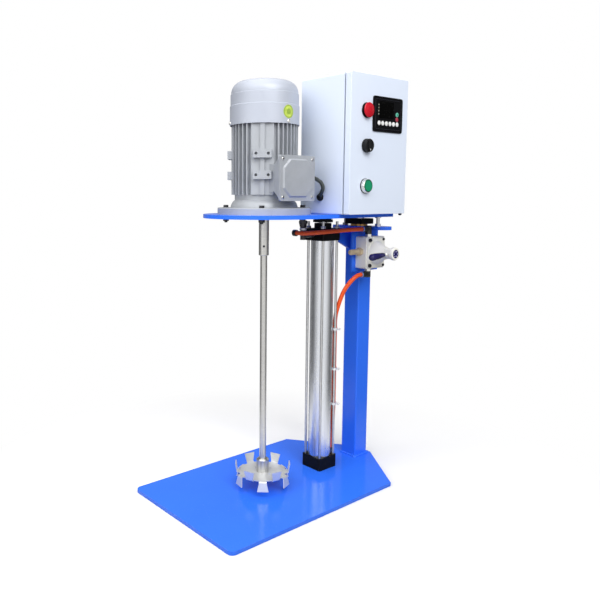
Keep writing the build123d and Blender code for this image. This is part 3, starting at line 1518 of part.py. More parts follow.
with BuildPart() as flow_control:
    with BuildSketch(level(flow_x, flow_y, collar_bottom)):
        Circle(flow_body_diameter / 2)
    extrude(amount=head_port_z - flow_body_drop - collar_bottom)
    with BuildSketch(level(flow_x, flow_y, collar_bottom)):
        Circle(flow_collar_diameter / 2)
    extrude(amount=flow_collar_height)
    with BuildSketch(across(flow_x, flow_y, head_port_z, (0, 1, 0))):
        Circle(flow_body_diameter / 2)
    extrude(amount=cap_front_y - flow_y)
    with BuildSketch(across(flow_x, cap_front_y, head_port_z, (0, 1, 0))):
        Circle(fitting_thread_diameter / 2)
    extrude(amount=fitting_thread)
    with BuildSketch(across(flow_arm_x, flow_arm_y, flow_arm_z, (-1, 0, 0))):
        Circle(fitting_diameter / 2)
    extrude(amount=fitting_arm)
    with BuildSketch(across(*body_middle, arm_middle - body_middle)):
        Circle(flow_neck_diameter / 2)
    extrude(amount=(arm_middle - body_middle).length)
    with BuildSketch(across(flow_arm_x, flow_arm_y, flow_arm_z, (-1, 0, 0))):
        Circle(hose_diameter / 2 + running_clearance)
    extrude(amount=hose_seat_depth, mode=Mode.SUBTRACT)
    with Locations((flow_x, flow_y, flow_top)):
        Hole(flow_knob_stem / 2 + running_clearance, depth=flow_knob_stem_length + slide_clearance)
keep(flow_control.part, "flow_control")

with BuildPart() as flow_knob:
    with BuildSketch(level(flow_x, flow_y, flow_top + slide_clearance)):
        RegularPolygon(flow_knob_foot_diameter / 2, flow_knob_sides)
    with BuildSketch(level(flow_x, flow_y, flow_top + slide_clearance + flow_knob_flare)):
        RegularPolygon(flow_knob_top_diameter / 2, flow_knob_sides)
    loft()
    extrude(faces().sort_by(Axis.Z)[-1], amount=flow_knob_height - flow_knob_flare)
    chamfer(faces().sort_by(Axis.Z)[-1].edges(), flow_knob_edge)
    with BuildSketch(level(flow_x, flow_y, flow_top + slide_clearance)):
        Circle(flow_knob_stem / 2)
    extrude(amount=-flow_knob_stem_length)
keep(flow_knob.part, "flow_knob")

# Hoses, and the ties that hold the lower one to a tie rod

flexible(upper_hose_route, hose_diameter, "upper_hose")
flexible(lower_hose_route, hose_diameter, "lower_hose")

straight_start, straight_end = lower_hose_route[5], lower_hose_route[6]
tied_rod = Vector(tie_rod_offset, cylinder_y + tie_rod_offset)

with BuildPart() as cable_ties:
    for tie_level in (tie_high, tie_middle, tie_low):
        share = (straight_start[2] - tie_level) / (straight_start[2] - straight_end[2])
        hose_x = straight_start[0] + share * (straight_end[0] - straight_start[0])
        hose_y = straight_start[1] + share * (straight_end[1] - straight_start[1])
        for growth, mode in ((tie_thickness, Mode.ADD), (0, Mode.SUBTRACT)):
            with BuildSketch(level(0, 0, tie_level)):
                with Locations((tied_rod.X, tied_rod.Y)):
                    Circle(tie_rod_diameter / 2 + slide_clearance + growth)
                with Locations((hose_x, hose_y)):
                    Circle(hose_diameter / 2 + slide_clearance + growth)
                make_hull()
            extrude(amount=tie_width, mode=mode)
keep(cable_ties.part, "cable_ties")

# Motor lead and its glands: one on the terminal box, a rubber dome and a mains gland on the cabinet

lead_arrival = Vector(*motor_lead_route[-2]) - Vector(*motor_lead_route[-1])

with BuildPart() as cable_glands:
    for place, outward_y, gland_bore in (
        ((box_gland_x, box_boss_y, box_gland_z), 1, lead_diameter),
        ((cabinet_gland_x, cabinet_rear_y, cabinet_gland_z), 1, power_gland_bore),
    ):
        with BuildSketch(across(*place, (0, outward_y, 0))):
            RegularPolygon(gland_diameter / 2, gland_sides)
        extrude(amount=gland_length)
        chamfer(faces().sort_by(Axis.Y)[-1].edges(), gland_edge)
        with BuildSketch(across(*place, (0, outward_y, 0))):
            Circle(gland_thread_diameter / 2)
        extrude(amount=-gland_thread)
        with BuildSketch(across(place[0], place[1] - gland_thread, place[2], (0, outward_y, 0))):
            Circle(gland_bore / 2 + running_clearance)
        extrude(amount=gland_thread + gland_length, mode=Mode.SUBTRACT)
    with Locations((cabinet_gland_x, cabinet_front_y, cabinet_gland_z)):
        Sphere(
            gland_diameter / 2,
            arc_size1=0,
            rotation=(90, 0, 0),
            align=(Align.CENTER, Align.CENTER, Align.MIN),
        )
    with BuildSketch(across(cabinet_gland_x, cabinet_front_y, cabinet_gland_z, (0, 1, 0))):
        Circle(gland_thread_diameter / 2)
    extrude(amount=inlet_dome_neck)
    with BuildSketch(across(*motor_lead_route[-1], lead_arrival)):
        Circle(lead_diameter / 2 + running_clearance)
    extrude(amount=gland_diameter, mode=Mode.SUBTRACT)
keep(cable_glands.part, "cable_glands")

flexible(motor_lead_route, lead_diameter, "motor_lead")
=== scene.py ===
import bmesh
import bpy
import numpy as np
from bpy.props import FloatProperty, FloatVectorProperty, IntProperty, PointerProperty
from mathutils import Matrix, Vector


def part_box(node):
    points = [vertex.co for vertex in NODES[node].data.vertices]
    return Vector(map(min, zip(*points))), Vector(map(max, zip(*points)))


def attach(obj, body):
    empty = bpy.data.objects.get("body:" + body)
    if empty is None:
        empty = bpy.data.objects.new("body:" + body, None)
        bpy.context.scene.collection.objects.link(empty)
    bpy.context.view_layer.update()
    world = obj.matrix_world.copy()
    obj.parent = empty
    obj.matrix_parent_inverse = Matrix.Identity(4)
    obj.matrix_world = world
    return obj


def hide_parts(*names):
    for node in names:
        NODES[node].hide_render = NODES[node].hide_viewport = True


bl_info = {
    "name": "Lift mixer finish",
    "version": (1, 0, 0),
    "blender": (4, 5, 0),
    "location": "View3D > Sidebar > Lift Mixer",
    "description": "Finishes, small fittings and a plain studio for the lift mixer",
    "category": "Object",
}

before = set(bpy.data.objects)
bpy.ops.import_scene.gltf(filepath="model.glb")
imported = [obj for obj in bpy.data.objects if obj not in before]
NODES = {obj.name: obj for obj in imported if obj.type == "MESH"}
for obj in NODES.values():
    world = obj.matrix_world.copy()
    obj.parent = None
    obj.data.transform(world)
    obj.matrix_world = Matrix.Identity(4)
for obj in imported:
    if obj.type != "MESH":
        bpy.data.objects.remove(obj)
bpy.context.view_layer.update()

# Directions, and places read from the solids, in metres

FRONT, UP, DOWN = (1, 0, 0), (0, 0, 1), (0, 0, -1)
CORNERS = [(side, rise) for side in (-1, 1) for rise in (-1, 1)]
FLANGE_SEAT = 0.636
BOLT_CIRCLE = 0.0825
HOSE_X = 0.05
TIE_LEVELS = (0.161, 0.247, 0.344)
TIE_Y = 0.2142
FLOW_AXIS = (-0.003, 0.122)
FLOW_RUN_LEVEL = 0.572
FLOW_ARM_LEVEL = 0.577
FLOW_ARM_Y = 0.1065

# Sizes and colours a user would change


def colour(label, note, default):
    """A linear RGB colour property with a name, a note and a default."""
    return FloatVectorProperty(name=label, description=note, subtype="COLOR", size=3, min=0.0,
                               max=1.0, default=default)


def length(label, note, default):
    """A length property in metres."""
    return FloatProperty(name=label, description=note, unit="LENGTH", min=0.0, default=default,
                         precision=5)


def power(label, note, default):
    """A lamp's power in watts."""
    return FloatProperty(name=label, description=note, unit="POWER", min=0.0, default=default)


class MixerColours(bpy.types.PropertyGroup):
    """Colours of the machine's finishes."""

    frame_blue: colour("Frame blue", "Gloss paint of base, column and plates", (0.034, 0.185, 0.97))
    frame_deep: colour("Frame blue, deep", "Where the gloss paint is thicker or shaded",
                       (0.024, 0.140, 0.84))
    motor_grey: colour("Motor grey", "Silver paint on the motor's castings", (0.40, 0.42, 0.45))
    cowl_grey: colour("Cowl grey", "Silver paint on the fan cowl", (0.46, 0.49, 0.56))
    cabinet_pale: colour("Cabinet pale", "Powder coat of case and door", (0.72, 0.79, 0.91))
    hose_orange: colour("Hose orange", "Air hoses", (1.0, 0.125, 0.026))
    cap_black: colour("Cap black", "Cylinder caps", (0.006, 0.006, 0.0065))
    valve_cream: colour("Valve cream", "Hand valve's castings", (0.93, 0.92, 0.84))
    grip_navy: colour("Grip navy", "Lever's grip and its badge", (0.012, 0.010, 0.085))
    go_green: colour("Start green", "Start button", (0.012, 0.28, 0.13))
    halt_red: colour("Stop red", "Stop button", (0.52, 0.005, 0.018))
    sticker_green: colour("Sticker green", "Round sticker on the cowl", (0.56, 0.68, 0.10))


class MixerFittings(bpy.types.PropertyGroup):
    """Sizes of the small fittings that the frame leaves to the finish."""

    cap_screw: length("Cap screw head", "Diameter of the hand valve's cap screws", 0.0088)
    flange_head: length("Flange bolt head", "Width across flats of the flange bolts' heads", 0.0100)
    tie_nut: length("Tie rod nut", "Width across flats of the nuts on the tie rods", 0.010)
    pan_screw: length("Pan screw head", "Diameter of the cowl and lid screws", 0.0076)
    bead: length("Weld bead", "Half width of the weld bead at the column's foot", 0.0026)
    ripple: length("Weld ripple", "Pitch of the ripples in the weld", 0.0036)
    push_ring: length("Push ring", "Thickness of the release ring on a hose fitting", 0.0028)
    sticker: length("Sticker", "Diameter of the round sticker", 0.027)
    turns: IntProperty(name="Round steps", description="Steps round a turned piece", default=48,
                       min=12, max=96)


class MixerStudio(bpy.types.PropertyGroup):
    """Light and camera."""

    surround: FloatProperty(name="Surround light", description="Strength of the even light all round",
                            default=0.38, min=0.0)
    flag: FloatProperty(name="Flag", description="How far reflections darken beside the machine",
                        default=0.85, min=0.0, max=1.0)
    key: power("Key light", "Large soft lamp on the operator's side", 36.0)
    side: power("Side light", "Large soft lamp on the motor's side", 43.0)
    top: power("Top light", "Large soft lamp overhead", 13.0)
    lens: FloatProperty(name="Lens", description="Focal length on a 36 mm sensor",
                        subtype="DISTANCE_CAMERA", default=38.77, min=10.0)


# Shapes as functions on a grid


def ring_faces(rows, steps, closed=False):
    """Quads between neighbouring rows of points, each row once round; closed joins the last row to
    the first."""
    row = np.arange(rows if closed else rows - 1)[:, None]
    step = np.arange(steps)[None, :]
    after, ahead = (row + 1) % rows, (step + 1) % steps
    quads = [row * steps + step, row * steps + ahead, after * steps + ahead, after * steps + step]
    return np.stack(quads, axis=-1).reshape(-1, 4).tolist()


def fan_faces(pole, start, steps, back=False):
    """Triangles from a pole point to a row of points that starts at an index, or the other way
    round for a back."""
    around = start + np.arange(steps)
    ahead = start + (np.arange(steps) + 1) % steps
    pair = (ahead, around) if back else (around, ahead)
    return np.stack([np.full(steps, pole), *pair], axis=-1).tolist()


def ring_radius(angle, sides):
    """1 on a circle (sides 0); otherwise the radius of a polygon of that many sides round a unit
    circle."""
    if sides == 0:
        return np.ones_like(angle)
    half = np.pi / sides
    return 1.0 / np.cos((angle + half) % (2 * half) - half)


def turned(rows, steps, closed=False):
    """Rows (radius, height), or (radius, height, sides) for a polygon, carried round an axis:
    point = (radius * polygon(angle) * cos, the same * sin, height). A row of radius 0 at either end
    is one pole point, and closed joins the last row to the first, as on a ring."""
    low_pole = rows[0][0] == 0 and not closed
    high_pole = rows[-1][0] == 0 and not closed
    body = rows[int(low_pole):len(rows) - int(high_pole)]
    angle = np.linspace(0, 2 * np.pi, steps, endpoint=False)
    radius = np.array([row[0] for row in body])[:, None]
    height = np.array([row[1] for row in body])[:, None]
    shape = np.array([ring_radius(angle, row[2] if len(row) > 2 else 0) for row in body])
    points = np.stack([radius * shape * np.cos(angle), radius * shape * np.sin(angle),
                       height + np.zeros_like(shape)], axis=-1).reshape(-1, 3)
    faces = ring_faces(len(body), steps, closed)
    if low_pole:
        points = np.vstack([points, [[0, 0, rows[0][1]]]])
        faces += fan_faces(len(points) - 1, 0, steps, back=True)
    if high_pole:
        points = np.vstack([points, [[0, 0, rows[-1][1]]]])
        faces += fan_faces(len(points) - 1, (len(body) - 1) * steps, steps)
    return points, faces


def rim_rows(width, height, thickness, corner, edge, steps):
    """The angles round a rounded plate and the four rows of its rim from back to front: the outline
    is |x/a|^n + |y/b|^n = 1 with n set by the corner, and the first and last row are drawn in by
    the edge."""
    angle = np.linspace(0, 2 * np.pi, steps, endpoint=False) + np.pi / steps
    squareness = 2.0 + 1.4 * min(width, height) / max(corner, 1e-5)
    cosine, sine = np.abs(np.cos(angle)) ** squareness, np.abs(np.sin(angle)) ** squareness
    unit = (cosine + sine) ** (-1.0 / squareness)
    insets = np.array([edge, 0.0, 0.0, edge])[:, None]
    levels = np.array([0.0, edge, thickness - edge, thickness])[:, None]
    x = (width / 2 - insets) * unit * np.cos(angle)
    y = (height / 2 - insets) * unit * np.sin(angle)
    return angle, np.stack([x, y, levels + np.zeros_like(x)], axis=-1)


def panel(width, height, thickness, corner, edge, steps=48):
    """A rounded plate: the rows of its rim, closed to a middle point on the back and the front."""
    rim = rim_rows(width, height, thickness, corner, edge, steps)[1].reshape(-1, 3)
    points = np.vstack([rim, [[0, 0, 0]], [[0, 0, thickness]]])
    faces = (ring_faces(4, steps) + fan_faces(4 * steps, 0, steps, back=True)
             + fan_faces(4 * steps + 1, 3 * steps, steps))
    return points, faces


def drilled(width, height, thickness, corner, edge, bore, steps=64):
    """A rounded block with a round bore down its middle: the rows of its rim, then a circle of the
    bore's radius at the front and the back, at the same angles, joined round."""
    angle, rim = rim_rows(width, height, thickness, corner, edge, steps)
    level = np.array([[thickness], [0.0]]) + np.zeros_like(angle)
    circle = np.broadcast_to([bore * np.cos(angle), bore * np.sin(angle)], (2, 2, steps))
    hole = np.stack([circle[:, 0], circle[:, 1], level], axis=-1)
    return np.vstack([rim, hole]).reshape(-1, 3), ring_faces(6, steps, closed=True)


def carried(path, radius, steps=12, closed=False):
    """A round section carried along a path: point = path(s) + radius(s) * (cos * side + sin * lift),
    where side is square to the run and level, and lift is square to both."""
    path = np.asarray(path, float)
    if closed:
        run = np.roll(path, -1, axis=0) - np.roll(path, 1, axis=0)
    else:
        run = np.gradient(path, axis=0)
    run /= np.linalg.norm(run, axis=1)[:, None]
    upright = np.where(np.abs(run[:, 2:3]) > 0.9, [[1.0, 0.0, 0.0]], [[0.0, 0.0, 1.0]])
    side = np.cross(run, upright)
    side /= np.linalg.norm(side, axis=1)[:, None]
    lift = np.cross(side, run)
    angle = np.linspace(0, 2 * np.pi, steps, endpoint=False)[None, :, None]
    size = (np.zeros(len(path)) + radius)[:, None, None]
    points = path[:, None, :] + size * (np.cos(angle) * side[:, None, :]
                                        + np.sin(angle) * lift[:, None, :])
    faces = ring_faces(len(path), steps, closed)
    if not closed:
        last = len(path) * steps
        faces += [list(range(steps)), list(range(last - steps, last))]
    return points.reshape(-1, 3), faces


def rounded_square(half_x, half_y, corner, count=160):
    """A closed path round a rectangle with round corners, evenly stepped along its length: each of
    the four quarters is a straight leg and then an arc of the corner's radius."""
    straight_x, straight_y = 2 * (half_x - corner), 2 * (half_y - corner)
    arc = np.pi / 2 * corner
    ends = np.cumsum([straight_y, arc, straight_x, arc] * 2)
    travel = np.linspace(0, ends[-1], count, endpoint=False)
    leg = np.searchsorted(ends, travel, side="right")
    along = travel - np.concatenate([[0], ends])[leg]
    quarter = leg // 2
    turn = quarter * np.pi / 2
    on_arc = leg % 2 == 1
    sweep = np.where(on_arc, along / corner, 0.0)
    center_x = np.array([1, -1, -1, 1])[quarter] * (half_x - corner)
    center_y = np.array([1, 1, -1, -1])[quarter] * (half_y - corner)
    back = np.where(on_arc, 0.0, np.where(quarter % 2 == 0, straight_y, straight_x) - along)
    x = center_x + corner * np.cos(turn + sweep) + back * np.sin(turn)
    y = center_y + corner * np.sin(turn + sweep) - back * np.cos(turn)
    return np.stack([x, y, np.zeros_like(x)], axis=-1)


def placed(shape, origin, out, up=UP):
    """A shape moved so that its z points along out, its y near up, and its origin is at a point."""
    points, faces = shape
    z = Vector(out).normalized()
    hint = Vector(up)
    if abs(z.dot(hint)) > 0.99:
        hint = Vector((0, 1, 0))
    x = hint.cross(z).normalized()
    y = z.cross(x)
    turn = np.array([x[:], y[:], z[:]])
    return np.asarray(points) @ turn + np.array(origin), faces


def lathed(rows, origin, out, steps, closed=False):
    """A turned shape, placed with its axis along out."""
    return placed(turned(rows, steps, closed), origin, out)


def together(shapes):
    """Several shapes as one, their points stacked and their faces numbered on."""
    points, faces, start = [], [], 0
    for shape_points, shape_faces in shapes:
        points.append(np.asarray(shape_points, float))
        faces += [[index + start for index in face] for face in shape_faces]
        start += len(shape_points)
    return np.vstack(points), faces


def headings(*degrees):
    """The cosine and sine of each angle."""
    return [(float(np.cos(angle)), float(np.sin(angle))) for angle in np.radians(degrees)]


def middle(node):
    """The middle of a CAD node's box."""
    return [(low + high) / 2 for low, high in zip(*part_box(node))]


def halves(node):
    """Half of a CAD node's size along x, y and z."""
    return [(high - low) / 2 for low, high in zip(*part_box(node))]


def make(name, shape, material, body, sharp=35.0):
    """A finished piece: its mesh from points and faces, outward faces, smooth but for sharp edges."""
    points, faces = shape
    mesh = bpy.data.meshes.new(name)
    mesh.from_pydata(points.tolist(), [], faces)
    mesh.update()
    work = bmesh.new()
    work.from_mesh(mesh)
    bmesh.ops.remove_doubles(work, verts=work.verts, dist=1e-7)
    bmesh.ops.recalc_face_normals(work, faces=work.faces)
    work.to_mesh(mesh)
    work.free()
    mesh.shade_smooth()
    mesh.set_sharp_from_angle(angle=np.radians(sharp))
    mesh.materials.append(material)
    piece = bpy.data.objects.new(name, mesh)
    bpy.context.scene.collection.objects.link(piece)
    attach(piece, body)
    return piece


# Shader nodes and groups

WHITE = (1.0, 1.0, 1.0, 1.0)
DUST = (0.75, 0.74, 0.72, 1.0)
MID_GREY, DARK_GREY = (0.5, 0.5, 0.5, 1.0), (0.3, 0.3, 0.3, 1.0)
BUMP_DEPTH = 0.0002


def feed(tree, socket, value):
    """Link a socket to a value that is a socket itself, or else set it to the value."""
    if isinstance(value, bpy.types.NodeSocket):
        tree.links.new(value, socket)
    else:
        socket.default_value = value


def new_node(tree, kind, inputs, **settings):
    """A shader node with its settings, and its inputs by name or number."""
    node = tree.nodes.new(f"ShaderNode{kind}")
    for label, value in settings.items():
        setattr(node, label, value)
    for label, value in inputs.items():
        feed(tree, node.inputs[label], value)
    return node


def math_node(tree, operation, *values):
    """The result of a math node on sockets or numbers."""
    return new_node(tree, "Math", dict(enumerate(values)), operation=operation).outputs[0]


def vector_node(tree, operation, *values):
    """The outputs of a vector math node on sockets or triples."""
    return new_node(tree, "VectorMath", dict(enumerate(values)), operation=operation).outputs


def mixed_colour(tree, amount, first, second):
    """A colour mixed from two by an amount."""
    return new_node(tree, "Mix", {0: amount, 6: first, 7: second}, data_type="RGBA").outputs[2]


def noise_node(tree, vector, scale, detail=3.0, rough=0.55):
    """A noise texture's value on a vector."""
    inputs = {"Vector": vector, "Scale": scale, "Detail": detail, "Roughness": rough}
    return new_node(tree, "TexNoise", inputs).outputs["Fac"]


def ramped(tree, value, low, high):
    """A value stretched so that low becomes 0 and high becomes 1, held between them."""
    inputs = {"Value": value, "From Min": low, "From Max": high}
    return new_node(tree, "MapRange", inputs, clamp=True).outputs["Result"]


def object_place(tree):
    """The point that is shaded, in the object's own frame."""
    return new_node(tree, "TexCoord", {}).outputs["Object"]


def new_group(name, inputs, outputs=("Color", "Roughness", "Height")):
    """An empty shader group, its inputs' kinds taken from their defaults, with the sockets that
    come in and those that go out."""
    group = bpy.data.node_groups.new(name, "ShaderNodeTree")
    for label, default in inputs.items():
        size = len(default) if isinstance(default, tuple) else 1
        kind = {1: "NodeSocketFloat", 3: "NodeSocketVector", 4: "NodeSocketColor"}[size]
        group.interface.new_socket(label, in_out="INPUT", socket_type=kind).default_value = default
    for label in outputs:
        kind = "NodeSocketColor" if label == "Color" else "NodeSocketFloat"
        group.interface.new_socket(label, in_out="OUTPUT", socket_type=kind)
    enter, leave = group.nodes.new("NodeGroupInput"), group.nodes.new("NodeGroupOutput")
    return group, enter.outputs, leave.inputs


def coat_group():
    """Sprayed paint: slow patches between two colours, a fine orange peel, and specks of dust."""
    group, given, result = new_group("Sprayed coat", {
        "Color": MID_GREY, "Deep Color": DARK_GREY, "Patch": 0.4, "Patch Scale": 9.0,
        "Peel Scale": 900.0, "Roughness": 0.3, "Spread": 0.1})
    place = object_place(group)
    patch = ramped(group, noise_node(group, place, given["Patch Scale"], 4.0), 0.35, 0.7)
    speck = ramped(group, noise_node(group, place, 420.0, 2.0), 0.66, 0.76)
    amount = math_node(group, "MULTIPLY", patch, given["Patch"])
    base = mixed_colour(group, amount, given["Color"], given["Deep Color"])
    dusty = mixed_colour(group, math_node(group, "MULTIPLY", speck, 0.06), base, DUST)
    rough = math_node(group, "MULTIPLY_ADD", patch, given["Spread"], given["Roughness"])
    feed(group, result["Color"], dusty)
    feed(group, result["Roughness"], math_node(group, "MULTIPLY_ADD", speck, 0.12, rough))
    feed(group, result["Height"], noise_node(group, place, given["Peel Scale"], 2.0))
    return group


def drawn_group():
    """Drawn or ground metal: streaks from noise stretched along one axis, in colour and roughness."""
    group, given, result = new_group("Drawn metal", {
        "Color": MID_GREY, "Streak Color": DARK_GREY, "Stretch": (1.0, 1.0, 1.0), "Streaks": 0.5,
        "Streak Scale": 900.0, "Roughness": 0.25, "Spread": 0.16})
    place = object_place(group)
    stretched = vector_node(group, "MULTIPLY", place, given["Stretch"])["Vector"]
    streak = noise_node(group, stretched, given["Streak Scale"], 5.0, 0.6)
    wide = ramped(group, noise_node(group, place, 14.0, 3.0), 0.35, 0.7)
    amount = math_node(group, "MULTIPLY", ramped(group, streak, 0.35, 0.7), given["Streaks"])
    rough = math_node(group, "MULTIPLY_ADD", streak, given["Spread"], given["Roughness"])
    feed(group, result["Color"], mixed_colour(group, amount, given["Color"], given["Streak Color"]))
    feed(group, result["Roughness"], math_node(group, "MULTIPLY_ADD", wide, 0.05, rough))
    feed(group, result["Height"], streak)
    return group


def cast_group():
    """Painted casting: sand grain in the height, darker hollows and a few darker, rougher patches."""
    group, given, result = new_group("Painted casting", {
        "Color": MID_GREY, "Deep Color": DARK_GREY, "Grain Scale": 900.0, "Grime": 0.3,
        "Roughness": 0.3, "Spread": 0.08})
    place = object_place(group)
    grain = noise_node(group, place, given["Grain Scale"], 4.0, 0.65)
    cloud = ramped(group, noise_node(group, place, 22.0, 5.0, 0.6), 0.4, 0.72)
    pits = math_node(group, "MULTIPLY", ramped(group, grain, 0.62, 0.74), 0.6)
    grime = math_node(group, "MULTIPLY", math_node(group, "MAXIMUM", cloud, pits), given["Grime"])
    rough = math_node(group, "MULTIPLY_ADD", cloud, given["Spread"], given["Roughness"])
    feed(group, result["Color"], mixed_colour(group, grime, given["Color"], given["Deep Color"]))
    feed(group, result["Roughness"], rough)
    feed(group, result["Height"], grain)
    return group


def band_group():
    """1 between two heights along a direction, and 0 outside them."""
    group, given, result = new_group(
        "Band along a line", {"Direction": (0.0, 0.0, 1.0), "Low": 0.0, "High": 1.0}, ("Mask",))
    height = vector_node(group, "DOT_PRODUCT", object_place(group), given["Direction"])["Value"]
    above = math_node(group, "GREATER_THAN", height, given["Low"])
    below = math_node(group, "LESS_THAN", height, given["High"])
    feed(group, result["Mask"], math_node(group, "MULTIPLY", above, below))
    return group


GROUP_MAKERS = {"coat": coat_group, "drawn": drawn_group, "cast": cast_group, "band": band_group}
GROUPS = {}


def shared(kind):
    """A shader group, built the first time it is asked for."""
    if kind not in GROUPS:
        GROUPS[kind] = GROUP_MAKERS[kind]()
    return GROUPS[kind]


def four(values):
    """A colour as RGBA."""
    return (*tuple(values)[:3], 1.0)


def finish_material(name, kind, bump=0.0, **values):
    """A material of one shared group. Each value goes to the group's socket of its name or else, as
    a constant, to the shader's own. A colour may be the name of one of the scene's colours."""
    material = bpy.data.materials.new(name)
    material.use_nodes = True
    tree = material.node_tree
    skin = tree.nodes["Principled BSDF"]
    coating = new_node(tree, "Group", {}, node_tree=shared(kind))
    for label, value in values.items():
        label = label.replace("_", " ").title().replace("Ior", "IOR")
        socket = coating.inputs[label] if label in coating.inputs else skin.inputs[label]
        if isinstance(value, str):
            value = getattr(bpy.context.scene.mixer_colours, value)
        socket.default_value = four(value) if socket.type == "RGBA" else value
    feed(tree, skin.inputs["Base Color"], coating.outputs["Color"])
    feed(tree, skin.inputs["Roughness"], coating.outputs["Roughness"])
    if bump:
        inputs = {"Strength": bump, "Distance": BUMP_DEPTH, "Height": coating.outputs["Height"]}
        feed(tree, skin.inputs["Normal"], new_node(tree, "Bump", inputs).outputs["Normal"])
    return material


def banded(material, direction, low, high, colour_in, metallic_in):
    """Another colour and metallic between two heights along a direction on a material."""
    tree = material.node_tree
    skin = tree.nodes["Principled BSDF"].inputs
    inputs = {"Direction": direction, "Low": low, "High": high}
    mask = new_node(tree, "Group", inputs, node_tree=shared("band")).outputs["Mask"]
    before = skin["Base Color"].links[0].from_socket
    feed(tree, skin["Base Color"], mixed_colour(tree, mask, before, four(colour_in)))
    base = skin["Metallic"].default_value
    feed(tree, skin["Metallic"], math_node(tree, "MULTIPLY_ADD", mask, metallic_in - base, base))
    return material


def dress(material, *nodes):
    """Give CAD nodes a material in place of their plain one."""
    for name in nodes:
        for slot in NODES[name].material_slots:
            slot.material = material


# The machine's finishes


def coat(name, color, deep_color, **values):
    """A finish of sprayed paint."""
    return dict(values, name=name, kind="coat", color=color, deep_color=deep_color)


def drawn(name, color, streak_color, **values):
    """A finish of drawn metal."""
    return dict(values, name=name, kind="drawn", color=color, streak_color=streak_color)


def cast(name, color, deep_color, **values):
    """A finish of a painted or moulded casting."""
    return dict(values, name=name, kind="cast", color=color, deep_color=deep_color)


